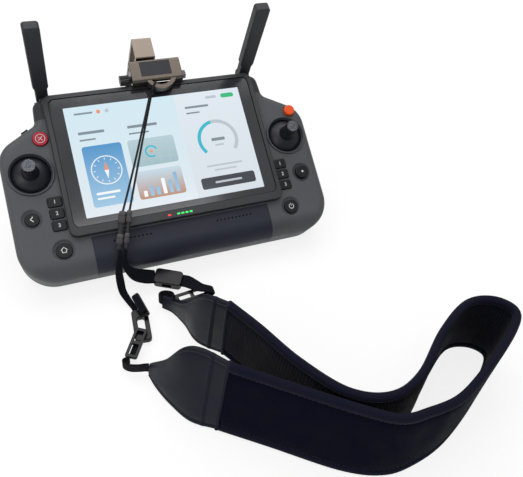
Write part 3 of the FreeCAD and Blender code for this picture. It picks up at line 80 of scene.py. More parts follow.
# ---- Camera -------------------------------------------------------------------------------------
# A normal lens held above and to the left of the lower edge, rolled a little, as for a product
# picture of the whole outfit.
LENS = 41.82
camera_data = bpy.data.cameras.new("camera")
camera_data.lens = LENS
camera_data.sensor_width = 36.0
camera_data.clip_end = 20.0
camera = bpy.data.objects.new("camera", camera_data)
bpy.context.collection.objects.link(camera)
CAMERA_AT = on_table(-102.05, -392.7, 406.8)
CAMERA_AIM = on_table(56.7, -87.0, 41.0)
CAMERA_ROLL = math.radians(8.84)
aim = (CAMERA_AIM - CAMERA_AT).normalized()
camera.matrix_world = (
    Matrix.Translation(CAMERA_AT)
    @ aim.to_track_quat("-Z", "Y").to_matrix().to_4x4()
    @ Matrix.Rotation(CAMERA_ROLL, 4, "Z")
)
bpy.context.scene.camera = camera


# ---- Casing -------------------------------------------------------------------------------------
# Two shells and the rear handle, injection moulded in glass-filled polycarbonate.
# The mould is spark eroded, so the surface is an even matt grain with a faint cloudiness.
def linear(code):
    """An sRGB hex colour as linear RGBA."""
    channels = [int(code[start:start + 2], 16) / 255 for start in (0, 2, 4)]
    bent = [c / 12.92 if c <= 0.04045 else ((c + 0.055) / 1.055) ** 2.4 for c in channels]
    return (*bent, 1.0)


def material(name, sockets):
    """A new material with its surface shader's sockets set."""
    made = bpy.data.materials.new(name)
    made.use_nodes = True
    shader = made.node_tree.nodes["Principled BSDF"]
    for socket, value in sockets.items():
        shader.inputs[socket].default_value = value
    return made


def add(made, kind, inputs, settings=None, output=0):
    """A node with its settings, and inputs that are values or other nodes' outputs."""
    tree = made.node_tree
    node = tree.nodes.new(kind)
    for setting, value in (settings or {}).items():
        setattr(node, setting, value)
    for socket, value in inputs.items():
        if isinstance(value, bpy.types.NodeSocket):
            tree.links.new(value, node.inputs[socket])
        else:
            node.inputs[socket].default_value = value
    return node.outputs[output]


def finish(made, outputs):
    """Join node outputs to sockets of the surface shader."""
    shader = made.node_tree.nodes["Principled BSDF"]
    for socket, output in outputs.items():
        made.node_tree.links.new(output, shader.inputs[socket])
    return made


def place(made, unit_mm=1.0):
    """The place on the piece, counted in units of so many millimetres."""
    spot = add(made, "ShaderNodeTexCoord", {}, output="Object")
    return add(made, "ShaderNodeVectorMath", {0: spot, "Scale": 1 / (unit_mm * MM)}, {"operation": "SCALE"})


SPREAD = {1: 0.3, 2: 0.7}    # a noise lies about a half, and this spreads it over a whole range


def surface(made, colour, shade, pattern=None, roughness=None, height=None, depth_mm=0.0):
    """Join a shaded colour, a roughness that follows a pattern, and relief from a height."""
    tint = add(made, "ShaderNodeVectorMath", {0: linear(colour)[:3], "Scale": shade}, {"operation": "SCALE"})
    outputs = {"Base Color": tint}
    if roughness is not None:
        least, most = roughness
        outputs["Roughness"] = add(made, "ShaderNodeMapRange", {0: pattern, **SPREAD, 3: least, 4: most})
    if height is not None:
        outputs["Normal"] = add(made, "ShaderNodeBump", {"Distance": depth_mm * MM, "Height": height})
    return finish(made, outputs)


CLOUD_MM = 35.0


def grained(made, colour, grain_mm, depth_mm, cloud=0.08, roughness=(0.5, 0.65)):
    """An even moulded grain, on a colour that clouds a little over centimetres.

    A real grain is a tenth of a millimetre or finer, and is drawn coarser so that it shows.
    """
    grain = add(made, "ShaderNodeTexNoise", {"Vector": place(made, grain_mm), "Scale": 1.0, "Detail": 1.0})
    clouds = add(made, "ShaderNodeTexNoise", {"Vector": place(made, CLOUD_MM), "Scale": 1.0, "Detail": 3.0})
    tone = add(made, "ShaderNodeMapRange", {0: clouds, **SPREAD, 3: 1 - cloud, 4: 1 + cloud})
    speck = add(made, "ShaderNodeMapRange", {0: grain, **SPREAD, 3: 0.93, 4: 1.07})
    shade = add(made, "ShaderNodeMath", {0: tone, 1: speck}, {"operation": "MULTIPLY"})
    return surface(made, colour, shade, clouds, roughness, grain, depth_mm)


def dress(node_names, made):
    """Give CAD nodes a material."""
    for name in node_names:
        for slot in frame["nodes"][name].material_slots:
            slot.material = made


# Dull and even, with broad soft lights.
casing_plastic = grained(
    material("spark_eroded_polycarbonate", {"IOR": 1.58, "Specular IOR Level": 0.4}), "45474B", 0.9, 0.05
)
dress(["front_shell", "rear_shell", "rear_handle"], casing_plastic)


# ---- Lower front panel, screen frame and rear cover ----------------------------------------------
# The lower panel has a soft-touch paint, cooler and smoother than the casing. The frame round the
# glass and the rear cover are satin black ABS with a fine etched grain.
# Paint that feels like rubber: velvety, nearly without lights.
soft_paint = grained(
    material("soft_touch_paint", {"IOR": 1.5, "Specular IOR Level": 0.35}),
    "1E2130", 0.7, 0.02, cloud=0.05,
)
dress(["lower_front_panel"], soft_paint)

# A satin black, with a clearer light than the casing.
satin_abs = grained(
    material("etched_satin_abs", {"IOR": 1.54, "Specular IOR Level": 0.4}),
    "2C2D32", 0.6, 0.02, roughness=(0.36, 0.46),
)
dress(["screen_frame", "rear_cover", "cover_latch", "battery"], satin_abs)


# ---- Cover glass ---------------------------------------------------------------------------------
# One sheet of strengthened glass, printed black on its back round the display and bonded over it.
# It reflects the light overhead, so the black print reads as a dark gray.
printed_glass = material("printed_glass", {"IOR": 1.52, "Coat Weight": 1.0, "Coat Roughness": 0.12})
smears = add(
    printed_glass, "ShaderNodeTexNoise", {"Vector": place(printed_glass, 22.0), "Scale": 1.0, "Detail": 4.0}
)
smeared = add(printed_glass, "ShaderNodeMapRange", {0: smears, **SPREAD, 3: 0.85, 4: 1.15})
surface(printed_glass, "25262C", smeared, smears, (0.08, 0.16))
dress(["cover_glass", "display_panel"], printed_glass)


# ---- Display -------------------------------------------------------------------------------------
# A liquid crystal display behind the glass, lit from its edges. It shows a plain start page: a pale
# ground, three cards, a gauge and a button, with bars where the lines of text would be.
def piece(name, mesh, materials, body="controller", where=None, smooth=True):
    """A new piece from a bmesh, with its materials, that rides on a body."""
    data = bpy.data.meshes.new(name)
    bmesh.ops.recalc_face_normals(mesh, faces=mesh.faces)
    for face in mesh.faces:
        face.smooth = smooth
    mesh.to_mesh(data)
    mesh.free()
    made = bpy.data.objects.new(name, data)
    bpy.context.collection.objects.link(made)
    for part in materials:
        data.materials.append(part)
    if where is not None:
        made.matrix_world = where
    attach(made, body)
    return made


def rounded(u, v, radius, steps=5):
    """Corner points of a rectangle with rounded corners, in millimetres."""
    points = []
    corners = ((u[1], v[1], 0), (u[0], v[1], 1), (u[0], v[0], 2), (u[1], v[0], 3))
    for corner_u, corner_v, quarter in corners:
        middle_u = corner_u - math.copysign(radius, corner_u - sum(u) / 2)
        middle_v = corner_v - math.copysign(radius, corner_v - sum(v) / 2)
        for step in range(steps + 1):
            angle = (quarter + step / steps) * math.pi / 2
            points.append((middle_u + radius * math.cos(angle), middle_v + radius * math.sin(angle)))
    return points


def sliver(mesh, points, w, material_index=0):
    """A thin flat prism over a polygon of (u, v) points in millimetres, between two heights."""
    lower = [mesh.verts.new((u * MM, v * MM, w[0] * MM)) for u, v in points]
    upper = [mesh.verts.new((u * MM, v * MM, w[1] * MM)) for u, v in points]
    faces = [mesh.faces.new(upper), mesh.faces.new(list(reversed(lower)))]
    for index in range(len(points)):
        after = (index + 1) % len(points)
        faces.append(mesh.faces.new((lower[index], lower[after], upper[after], upper[index])))
    for face in faces:
        face.material_index = material_index


def ring(mesh, centre, inner, outer, angles, w, steps, material_index=0):
    """Part of a flat ring between two angles in degrees, as short slivers."""
    start, stop = angles
    slivers = max(1, round(abs(stop - start) / 30))
    for index in range(slivers):
        first, last = (math.radians(start + (stop - start) * (index + part) / slivers) for part in (0, 1))
        turns = [first + (last - first) * step / steps for step in range(steps + 1)]
        outside = [(centre[0] + outer * math.cos(a), centre[1] + outer * math.sin(a)) for a in turns]
        inside = [(centre[0] + inner * math.cos(a), centre[1] + inner * math.sin(a)) for a in reversed(turns)]
        sliver(mesh, outside + inside, w, material_index)


def lit(name, colour, colour_low=None, span=(-47.0, 47.0)):
    """Glowing display colour under gloss, with an even shade or one that runs down the display."""
    made = material(
        name,
        {"Base Color": (0.01, 0.01, 0.01, 1), "Roughness": 0.12, "IOR": 1.52, "Emission Strength": 1.0},
    )
    up_display = add(made, "ShaderNodeSeparateXYZ", {0: place(made)}, output="Y")
    share = add(made, "ShaderNodeMapRange", {0: up_display, 1: span[0], 2: span[1]})
    colours = {0: share, 6: linear(colour_low or colour), 7: linear(colour)}
    shade = add(made, "ShaderNodeMix", colours, {"data_type": "RGBA"}, output=2)
    return finish(made, {"Emission Color": shade})


SHADES = {
    "ground": lit("display_ground", "CFE6F0", "DDE6EC"),
    "column": lit("display_column", "DDE6EE", "D6DEE6"),
    "deep": lit("display_deep_blue", "4C93C8", "9CC4E0", (-40.0, 12.0)),
    "card": lit("display_card", "B4CDD4", "9FBCC4", (-12.0, 12.0)),
    "sand": lit("display_sand", "C3D9E6", "B98A72", (-40.0, -16.0)),
    "ink": lit("display_ink", "7F8C96"),
    "slate": lit("display_slate", "3A3E45"),
    "green": lit("display_green", "2DB878"),
    "orange": lit("display_orange", "E8946A"),
    "white": lit("display_white", "F2F6F8"),
    "cyan": lit("display_cyan", "36B7C9"),
    "pale": lit("display_pale_gray", "B9C2CA"),
}
SHADE_INDEX = {name: index for index, name in enumerate(SHADES)}
LIFT = 0.004                 # from the glass to the underside of the picture
LAYER = 0.015
picture = bmesh.new()


def tile(u, v, radius, layer, shade):
    """A rounded rectangle of the display's picture."""
    sliver(picture, rounded(u, v, radius), (LIFT, LAYER * layer), SHADE_INDEX[shade])


def ring_part(centre, inner, outer, start, stop, layer, shade):
    """Part of a ring in the display's picture."""
    ring(picture, centre, inner, outer, (start, stop), (LIFT, LAYER * layer), 6, SHADE_INDEX[shade])


tile((-75.6, 75.6), (-47.2, 47.2), 0.6, 1, "ground")
tile((16.5, 75.4), (-47.0, 47.0), 0.6, 2, "column")
for bar_u, bar_v, bar_length, bar_height in (
    (-68.0, 40.0, 15.0, 1.6), (-68.0, 22.5, 21.0, 2.4), (-68.0, 17.0, 13.0, 1.4), (-28.0, 22.5, 25.0, 2.4),
    (-28.0, 17.0, 17.0, 1.4), (24.0, 33.0, 21.0, 2.0), (24.0, 28.0, 12.0, 1.4),
):
    tile((bar_u, bar_u + bar_length), (bar_v, bar_v + bar_height), 0.6, 3, "ink")
tile((-50.0, -46.6), (39.2, 42.6), 1.65, 3, "orange")
tile((-43.0, -39.6), (39.2, 42.6), 1.65, 3, "pale")
tile((58.0, 70.0), (39.2, 43.2), 2.0, 3, "green")
tile((44.0, 54.0), (40.0, 42.4), 1.1, 3, "pale")
tile((-68.0, -36.0), (-40.0, 12.0), 2.4, 3, "deep")
tile((-31.0, 8.0), (-12.0, 12.0), 2.4, 3, "card")
tile((-31.0, 8.0), (-40.0, -16.0), 2.4, 3, "sand")
tile((22.0, 70.0), (-41.0, -31.0), 2.0, 3, "slate")
tile((34.0, 58.0), (-37.0, -35.2), 0.8, 4, "pale")
DIAL_MIDDLE = (-52.0, -10.0)
ring_part(DIAL_MIDDLE, 11.6, 12.4, 0, 360, 4, "white")
for tick in range(12):
    ring_part(DIAL_MIDDLE, 8.8, 10.6, tick * 30 - 1.6, tick * 30 + 1.6, 4, "white")
sliver(picture, [(-52.0, -2.5), (-53.8, -10.0), (-50.2, -10.0)], (LIFT, LAYER * 4), SHADE_INDEX["orange"])
sliver(picture, [(-52.0, -17.5), (-50.2, -10.0), (-53.8, -10.0)], (LIFT, LAYER * 4), SHADE_INDEX["white"])
tile((-64.0, -50.0), (-34.0, -32.4), 0.7, 4, "white")
tile((-64.0, -45.0), (-30.0, -28.0), 0.7, 4, "white")
for line in range(4):
    tile((-31.0 + 8.0 * (line + 1), -30.5 + 8.0 * (line + 1)), (-11.5, 11.5), 0.2, 4, "pale")
for line in range(3):
    tile((-30.5, 7.5), (-12.0 + 6.0 * (line + 1), -11.5 + 6.0 * (line + 1)), 0.2, 4, "pale")
ring_part((-13.0, 0.0), 4.0, 5.4, 20, 300, 5, "cyan")
tile((-14.2, -11.8), (-1.2, 1.2), 1.1, 5, "orange")
for column, bar_top in enumerate((-33.0, -29.0, -31.0, -24.5, -27.0, -21.0)):
    bar_shade = "deep" if column % 3 else "white"
    tile((-27.0 + 5.4 * column, -24.0 + 5.4 * column), (-38.0, bar_top), 0.5, 4, bar_shade)
ring_part((46.0, 2.0), 15.0, 18.0, -40, 220, 3, "pale")
ring_part((46.0, 2.0), 15.0, 18.0, 100, 220, 4, "cyan")
tile((40.0, 52.0), (0.6, 3.4), 0.8, 3, "ink")
tile((42.0, 50.0), (-4.0, -2.4), 0.7, 3, "pale")
tile((30.0, 62.0), (-22.0, -20.4), 0.7, 3, "pale")
tile((36.0, 56.0), (-26.0, -24.6), 0.6, 3, "pale")
piece("display_picture", picture, SHADES.values(), where=controller, smooth=False)


# ---- Lamps below the glass -----------------------------------------------------------------------
# Small light pipes of clear polycarbonate, pressed into the lower edge of the frame: one red for
# the state, and four green for the charge. They glow evenly and have a soft gloss.
for lamp_node, glow in (("status_light", "FF2A20"), ("battery_lights", "2BE05A")):
    lamp = material(
        "clear_polycarbonate_" + lamp_node,
        {"Base Color": linear(glow), "Emission Color": linear(glow), "Emission Strength": 1.2},
    )
    ripple = add(lamp, "ShaderNodeTexNoise", {"Vector": place(lamp, 0.8), "Scale": 1.0})
    gloss = add(lamp, "ShaderNodeMapRange", {0: ripple, **SPREAD, 3: 0.2, 4: 0.4})
    dress([lamp_node], finish(lamp, {"Roughness": gloss}))


# ---- Sticks --------------------------------------------------------------------------------------
# Two gimbals. Each has a moulded ring, a rubber-coated dome that hides the pivot, and a turned
# aluminium lever with a knurled crown.
# The ring is satin, a little lighter than the keys.
ring_plastic = grained(
    material("moulded_ring_abs", {"IOR": 1.54, "Specular IOR Level": 0.4}),
    "3E4045", 0.8, 0.03, roughness=(0.4, 0.5),
)
dress(["stick_rings"], ring_plastic)

# The coated dome is near black, with one soft light on its round top.
dome_rubber = grained(
    material("rubber_coated_dome", {"IOR": 1.52, "Specular IOR Level": 0.4}),
    "10111C", 0.5, 0.02, roughness=(0.38, 0.5),
)
dress(["stick_dome_left", "stick_dome_right"], dome_rubber)

# Turning leaves fine marks and a silky shine, and the crown's knurls catch it as bright points.
turned = material("turned_aluminium", {"Metallic": 1.0, "Roughness": 0.3})
MARKS_PER_MM = (1.0, 15.0, 15.0)
marked = add(turned, "ShaderNodeVectorMath", {0: place(turned), 1: MARKS_PER_MM}, {"operation": "MULTIPLY"})
turning = add(turned, "ShaderNodeTexNoise", {"Vector": marked, "Scale": 1.0})
knurls = add(turned, "ShaderNodeTexVoronoi", {"Vector": place(turned, 1.1), "Scale": 1.0})
streaked = add(turned, "ShaderNodeMapRange", {0: turning, **SPREAD, 3: 0.85, 4: 1.15})
surface(turned, "5E6066", streaked, turning, (0.3, 0.45), knurls, 0.3)
dress(["stick_left", "stick_right"], turned)

# Acetal is waxy, with a dull black.
gimbal_plastic = grained(material("black_acetal", {"IOR": 1.48}), "17181B", 0.6, 0.02)
dress(["gimbal_bases", "gimbal_yoke_left", "gimbal_yoke_right"], gimbal_plastic)


# ---- Buttons and their marks ---------------------------------------------------------------------
# Caps moulded in satin ABS that is coloured right through: black keys, a red stop button and an
# orange one. The marks are printed in pale ink, a few hundredths of a millimetre thick.
caps = {}
for cap_name, cap_colour, cap_finish in (
    ("satin_key_abs", "0B0C0F", {"depth_mm": 0.015, "roughness": (0.34, 0.44)}),
    ("red_abs", "A01A30", {"depth_mm": 0.01, "cloud": 0.04, "roughness": (0.3, 0.4)}),
    ("orange_abs", "E85418", {"depth_mm": 0.01, "cloud": 0.04, "roughness": (0.3, 0.4)}),
):
    cap_made = material(cap_name, {"IOR": 1.54, "Specular IOR Level": 0.3})
    caps[cap_name] = grained(cap_made, cap_colour, 0.5, **cap_finish)
dress([node for node in frame["nodes"] if node.startswith("key_")], caps["satin_key_abs"])
dress(["back_button", "five_way_button", "home_button", "power_button"], caps["satin_key_abs"])
dress(["dial_left", "dial_right", "shutter_button", "mode_switch"], caps["satin_key_abs"])
dress(["stop_button", "record_button"], caps["red_abs"])
dress(["pause_button"], caps["orange_abs"])

# Screen ink lies flat and dull, and covers the black fully.
pale_ink = grained(material("pale_printing_ink", {"IOR": 1.5}), "D8D9DB", 0.3, 0.005, cloud=0.05)
INK = 0.04
INK_ROOT = 0.05              # the ink starts this far inside the cap
body_of = {
    node: body for body, nodes in frame["record"]["behaviour"]["bodies"].items() for node in nodes
}


def cap_top(node):
    """The middle of a button's top in the controller's own axes, in millimetres."""
    to_own_axes = controller.inverted()
    points = [to_own_axes @ vertex.co / MM for vertex in frame["nodes"][node].data.vertices]
    low, high = ([pick(point[axis] for point in points) for axis in range(3)] for pick in (min, max))
    return Vector(((low[0] + high[0]) / 2, (low[1] + high[1]) / 2, high[2]))


def printed(node, width, lines=(), rings=()):
    """A printed mark of lines and rings about the middle of a button's top."""
    top = cap_top(node)
    span = (top.z - INK_ROOT, top.z + INK)
    mark = bmesh.new()
    for start, end in lines:
        start, end = (Vector(point) + top.xy for point in (start, end))
        along = (end - start).normalized()
        side = Vector((-along.y, along.x)) * width / 2
        tip = along * width / 4
        a, b = start - tip, end + tip
        sliver(mark, [tuple(point) for point in (a + side, a - side, b - side, b + side)], span)
    for radius, first, last in rings:
        ring(mark, top, radius - width / 2, radius + width / 2, (first, last), span, 4)
    name = node.replace("_button", "_mark")
    return piece(name, mark, [pale_ink], body=body_of[node], where=controller, smooth=False)


printed("stop_button", 0.35, [((-1.6, -1.6), (1.6, 1.6)), ((-1.6, 1.6), (1.6, -1.6))], [(3.6, 0, 360)])
printed("back_button", 0.6, [((0.9, 1.9), (-1.1, 0)), ((-1.1, 0), (0.9, -1.9))])
printed("home_button", 0.5, [
    ((-2.4, 0.2), (0, 2.3)), ((0, 2.3), (2.4, 0.2)), ((-1.6, 0), (-1.6, -1.9)),
    ((1.6, 0), (1.6, -1.9)), ((-1.6, -1.9), (1.6, -1.9)),
])
printed("power_button", 0.5, [((0, 0.4), (0, 2.6))], [(2.1, -240, 60)])
printed("five_way_button", 0.9, rings=[(0.46, 0, 360)])
NUMERAL_HEIGHT = 4.4
for side in ("left", "right"):
    for number in (1, 2, 3):
        node = "key_%s_%d" % (side, number)
        curve = bpy.data.curves.new("numeral", "FONT")
        curve.body = str(number)
        curve.size = NUMERAL_HEIGHT * MM
        curve.align_x = "CENTER"
        curve.align_y = "CENTER"
        curve.extrude = INK * MM
        lettering = bpy.data.objects.new("numeral", curve)
        bpy.context.collection.objects.link(lettering)
        bpy.context.view_layer.update()
        numeral_mesh = bmesh.new()
        flat = bpy.data.meshes.new_from_object(lettering.evaluated_get(bpy.context.evaluated_depsgraph_get()))
        numeral_mesh.from_mesh(flat)
        bpy.data.objects.remove(lettering)
        spot = controller @ Matrix.Translation(cap_top(node) * MM)
        piece("mark_" + node, numeral_mesh, [pale_ink], body=body_of[node], where=spot, smooth=False)


# ---- Corner caps and antennas --------------------------------------------------------------------
# Matt black ABS caps on the upper corners, each with the fork of a flat antenna that folds on a
# steel pin. The coarse mould grain keeps them without lights.
matt_abs = grained(material("matt_black_abs", {"IOR": 1.54, "Specular IOR Level": 0.4}), "24262B", 0.8, 0.04)
dress(["corner_caps", "antenna_left", "antenna_right"], matt_abs)

# Grinding leaves short marks that break the pin's shine.
steel = material("ground_steel", {"Metallic": 1.0, "Roughness": 0.35})
lay = add(steel, "ShaderNodeTexNoise", {"Vector": place(steel, 0.6), "Scale": 1.0})
surface(steel, "5C5D60", add(steel, "ShaderNodeMapRange", {0: lay, **SPREAD, 3: 0.85, 4: 1.1}))
dress(["antenna_pins", "pivot_fittings"], steel)

# Black oxide is thin, so the steel still shines through it darkly.
blackened = grained(
    material("blackened_steel", {"Metallic": 1.0}), "3A3A3D", 0.5, 0.01, roughness=(0.35, 0.5)
)
dress(["fixing_screws", "thumb_screw"], blackened)


# ---- Boards --------------------------------------------------------------------------------------
# Glass-fibre boards that stand on posts in the casing. The green solder resist is glossy, and the
# copper tracks under it change its shade.
resist = material("solder_resist", {"IOR": 1.55, "Roughness": 0.35})
tracks = add(resist, "ShaderNodeTexBrick", {"Vector": place(resist, 4.0), "Scale": 1.0, "Mortar Size": 0.06})
surface(resist, "1E5A36", add(resist, "ShaderNodeMapRange", {0: tracks, **SPREAD, 3: 0.8, 4: 1.2}))
dress(["circuit_boards"], resist)


# ---- Strap bracket -------------------------------------------------------------------------------
# Bent and milled aluminium parts, bead blasted and anodised a warm gray, with a slate inlay in the
# head. A knurled thumb screw clamps the head to the arm.
# Blasting before the anodising makes the metal silky. The head is drawn a darker gray than the
# other bracket parts.
for bracket_name, bracket_colour, bracket_roughness, bracket_nodes in (
    (
        "bead_blasted_anodised_aluminium", "857B71", (0.34, 0.48),
        ["bracket_clamp", "bracket_arm", "bracket_foot"],
    ),
    ("milled_anodised_aluminium", "655D56", (0.3, 0.42), ["bracket_head"]),
):
    metal = material(bracket_name, {"Metallic": 1.0})
    dress(bracket_nodes, grained(metal, bracket_colour, 0.4, 0.02, cloud=0.07, roughness=bracket_roughness))

# Slate is matt, dark and faintly blue.
slate = grained(
    material("slate_inlay", {"IOR": 1.5, "Specular IOR Level": 0.35}),
    "1D2026", 0.8, 0.03, roughness=(0.4, 0.55),
)
dress(["head_inlay"], slate)


# ---- Cords ---------------------------------------------------------------------------------------
# Two thin braided cords that carry the controller from the bow of the bracket. Both hang over the
# display to their quick-release connectors, and are hitched round the bow with one knot.
# Braided polyester is dull. Its colour carries a painted highlight on the crowns of the strands
# and painted shade in the gaps between them.
CORD_D = 1.8
cord_black = material("braided_polyester_cord", {"IOR": 1.5, "Roughness": 0.8})
plait = add(cord_black, "ShaderNodeTexVoronoi", {"Vector": place(cord_black, 0.9), "Scale": 1.0})
# painted highlight on the crowns of the plait and painted shade in its gaps, following its bump
painted_strand_shading = add(cord_black, "ShaderNodeMapRange", {0: plait, 1: 0.0, 2: 0.8, 3: 1.5, 4: 0.6})
surface(cord_black, "0E0E12", painted_strand_shading, height=plait, depth_mm=0.15)


def cord_curve(name, points, cyclic=False):
    """A round cord on one smooth line through points in the controller's own axes."""
    curve = bpy.data.curves.new(name, "CURVE")
    curve.dimensions = "3D"
    curve.bevel_depth = CORD_D / 2 * MM
    curve.bevel_resolution = 4
    curve.resolution_u = 24
    curve.use_fill_caps = True
    spline = curve.splines.new("NURBS")
    spline.points.add(len(points) - 1)
    for control, point in zip(spline.points, points):
        control.co = (*on_controller(*point), 1)
    spline.use_cyclic_u = cyclic
    spline.order_u = 3
    spline.use_endpoint_u = not cyclic
    curve.materials.append(cord_black)
    made = bpy.data.objects.new(name, curve)
    bpy.context.collection.objects.link(made)
    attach(made, "controller")
    return made


BOW_AT = (8.0, 63.5)
BOW_INNER, BOW_OUTER = 10.0, 13.5
BOW_LOW, BOW_HIGH = 3.5, 10.5
CLEAR = 1.2                  # from the bow to the middle of the cord
HITCH_AT = math.radians(233)
radial = Vector((math.cos(HITCH_AT), math.sin(HITCH_AT), 0))
knot_at = Vector((*BOW_AT, 4.6)) + radial * (BOW_OUTER + CLEAR + 1.6)
NEAR_PLUG = Vector((-47.4, -47.5, 3.6))
FAR_PLUG = Vector((-42.2, -48.2, 5.0))
near_start = knot_at + Vector((-1.5, -1.5, 0))
far_start = knot_at + Vector((-0.3, -1.7, -1.9))
cord_near = cord_curve("cord_near_line", [near_start, (-29.8, -11.8, 3.1), NEAR_PLUG])
cord_far = cord_curve("cord_far_line", [far_start, (-27.2, -11.2, 2.2), FAR_PLUG])
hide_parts("cord_near")
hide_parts("cord_far")

# The hitch is one turn of the cord round the bow, and the knot is an overhand knot drawn tight.
turn_in, turn_out = BOW_INNER - CLEAR, BOW_OUTER + CLEAR
turn_low, turn_high = BOW_LOW - CLEAR, BOW_HIGH + CLEAR
cord_curve(
    "cord_hitch",
    [
        radial * reach + Vector((*BOW_AT, height))
        for reach, height in (
            (turn_in, turn_low + 2), (turn_in, turn_high - 2), (turn_in + 1, turn_high),
            (turn_out - 1, turn_high), (turn_out, turn_high - 2), (turn_out, turn_low + 2),
            (turn_out - 1, turn_low), (turn_in + 1, turn_low),
        )
    ],
    cyclic=True,
)
KNOT_SIZE = 0.62
KNOT_POINTS = 18
knot_line = []
for step in range(KNOT_POINTS):
    turned_by = 2 * math.pi * step / KNOT_POINTS
    knot_line.append(knot_at + KNOT_SIZE * Vector((
        math.sin(turned_by) + 2 * math.sin(2 * turned_by),
        math.cos(turned_by) - 2 * math.cos(2 * turned_by),
        -math.sin(3 * turned_by),
    )))
cord_curve("cord_knot", knot_line, cyclic=True)


# ---- Quick-release connectors --------------------------------------------------------------------
# A socket and a plug moulded in gray acetal and joined by a dark bar, with a stitched relief where
# the webbing begins. Acetal has a waxy shine along its rounded edges.
gray_acetal = grained(material("gray_acetal", {"IOR": 1.48}), "383537", 0.6, 0.02, roughness=(0.34, 0.46))


def moulding(mesh, sections, material_index=0):
    """A smooth moulding through (y, half width, half thickness, corner radius) sections in millimetres."""
    loops = []
    for y, half_width, half_thick, corner in sections:
        outline = rounded((-half_width, half_width), (-half_thick, half_thick), corner, 4)
        loops.append([mesh.verts.new((x * MM, y * MM, z * MM)) for x, z in outline])
    faces = [mesh.faces.new(loops[0]), mesh.faces.new(list(reversed(loops[-1])))]
    for loop, after in zip(loops, loops[1:]):
        count = len(loop)
        for index in range(count):
            side = (index + 1) % count
            faces.append(mesh.faces.new((loop[index], after[index], after[side], loop[side])))
    for face in faces:
        face.material_index = material_index


def stand(at, along, facing):
    """Where a piece drawn along -Y, with its front to +Z, stands on the controller."""
    y = -Vector(along).normalized()
    x = y.cross(Vector(facing)).normalized()
    z = x.cross(y)
    turned_to = Matrix((x, y, z)).transposed().to_4x4()
    return controller @ Matrix.Translation(Vector(at) * MM) @ turned_to


def shade_by_angle(made):
    """Sharp edges stay sharp and the rest is smooth."""
    mesh = bmesh.new()
    mesh.from_mesh(made.data)
    for edge in mesh.edges:
        edge.smooth = len(edge.link_faces) == 2 and edge.calc_face_angle() < math.radians(40)
    mesh.to_mesh(made.data)
    mesh.free()


def connector(name, at, along, facing):
    """One connector: the socket, a flat cross-shaped bar, the plug and the relief for the webbing."""
    mesh = bmesh.new()
    moulding(mesh, [
        (0.0, 2.0, 1.2, 0.5), (-0.5, 2.6, 1.8, 0.7), (-1.2, 2.8, 2.0, 0.8), (-3.4, 2.8, 2.0, 0.8),
        (-3.7, 2.5, 1.7, 0.7), (-4.3, 2.5, 1.7, 0.7), (-4.6, 2.8, 2.0, 0.8), (-8.9, 2.8, 2.0, 0.8),
        (-9.6, 2.6, 1.8, 0.7), (-10.0, 2.2, 1.4, 0.5),
    ])
    moulding(mesh, [(-9.0, 1.1, 1.3, 0.4), (-19.8, 1.1, 1.3, 0.4)], 1)
    moulding(mesh, [(-9.0, 2.1, 0.9, 0.4), (-19.8, 2.1, 0.9, 0.4)], 1)
    moulding(mesh, [
        (-19.0, 2.1, 1.5, 0.5), (-19.5, 2.5, 1.8, 0.7), (-20.2, 2.7, 2.0, 0.8), (-22.2, 2.7, 2.0, 0.8),
        (-22.5, 2.4, 1.7, 0.7), (-23.1, 2.4, 1.7, 0.7), (-23.4, 2.7, 2.0, 0.8), (-26.2, 2.6, 2.0, 0.8),
        (-27.0, 2.2, 1.6, 0.7),
    ])
    moulding(mesh, [(-26.4, 2.0, 1.6, 0.8), (-28.5, 1.9, 1.4, 0.7), (-31.0, 1.7, 1.1, 0.6)], 1)
    made = piece(name, mesh, [gray_acetal, gimbal_plastic], where=stand(at, along, facing))
    shade_by_angle(made)
    return made


near_connector = connector("connector_near", NEAR_PLUG, (-9.5, -29.5, -1.2), (0, 0, 1))
far_connector = connector("connector_far", FAR_PLUG, (-9.6, -29.6, -1.0), (1, 0, 0))
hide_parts("cord_fittings")
for line, start, length, fitting in (
    (cord_near, near_start, 0.1061, near_connector),
    (cord_far, far_start, 0.1051, far_connector),
):
    on_controller(*start)


# ---- Strap: padded band --------------------------------------------------------------------------
# A neck band of foam between knitted fabric outside and ribbed spacer mesh inside. A stitched
# binding is rolled round both long edges, and the band stands on edge on the table.
PAD_FLOOR = [               # x, y, and how far the band leans to its left at the top
    (-21.5, -215.7, 16), (9.6, -239.2, 15), (49.3, -269.6, 15), (76, -281.8, 11), (99.3, -282.2, 9),
    (126.7, -275.5, 4.5), (160.4, -258.9, 3), (194.2, -236.9, 1), (205, -223, 0), (194.2, -210.2, -0.5),
    (172.7, -207.9, -0.7), (143.3, -225.9, -3.4), (109.2, -251.5, -3.4), (80.4, -257.2, -1),
    (54, -245, 0), (32, -215, 0), (16, -182, 0), (3, -158, 0),
]
PAD_WIDTH = 65.0
FLOOR_GAP = 0.1

pad_low = [Vector((x, y, 0.0)) for x, y, lean in PAD_FLOOR]
pad_high = []
for index, (x, y, lean) in enumerate(PAD_FLOOR):
    along = (pad_low[min(index + 1, len(pad_low) - 1)] - pad_low[max(index - 1, 0)]).normalized()
    rise = math.sqrt(PAD_WIDTH ** 2 - lean ** 2)
    pad_high.append(pad_low[index] + Vector((-along.y, along.x, 0)) * lean + Vector((0, 0, rise)))


def smooth_line(points, steps):
    """Points on a smooth line that passes through the given ones."""
    ends = [2 * points[0] - points[1], *points, 2 * points[-1] - points[-2]]
    line = []
    for a, b, c, d in zip(ends, ends[1:], ends[2:], ends[3:]):
        for step in range(steps):
            t = step / steps
            bend = 2 * a - 5 * b + 4 * c - d
            twist = 3 * b - a - 3 * c + d
            line.append(0.5 * (2 * b + (c - a) * t + bend * t * t + twist * t ** 3))
    return [*line, points[-1]]


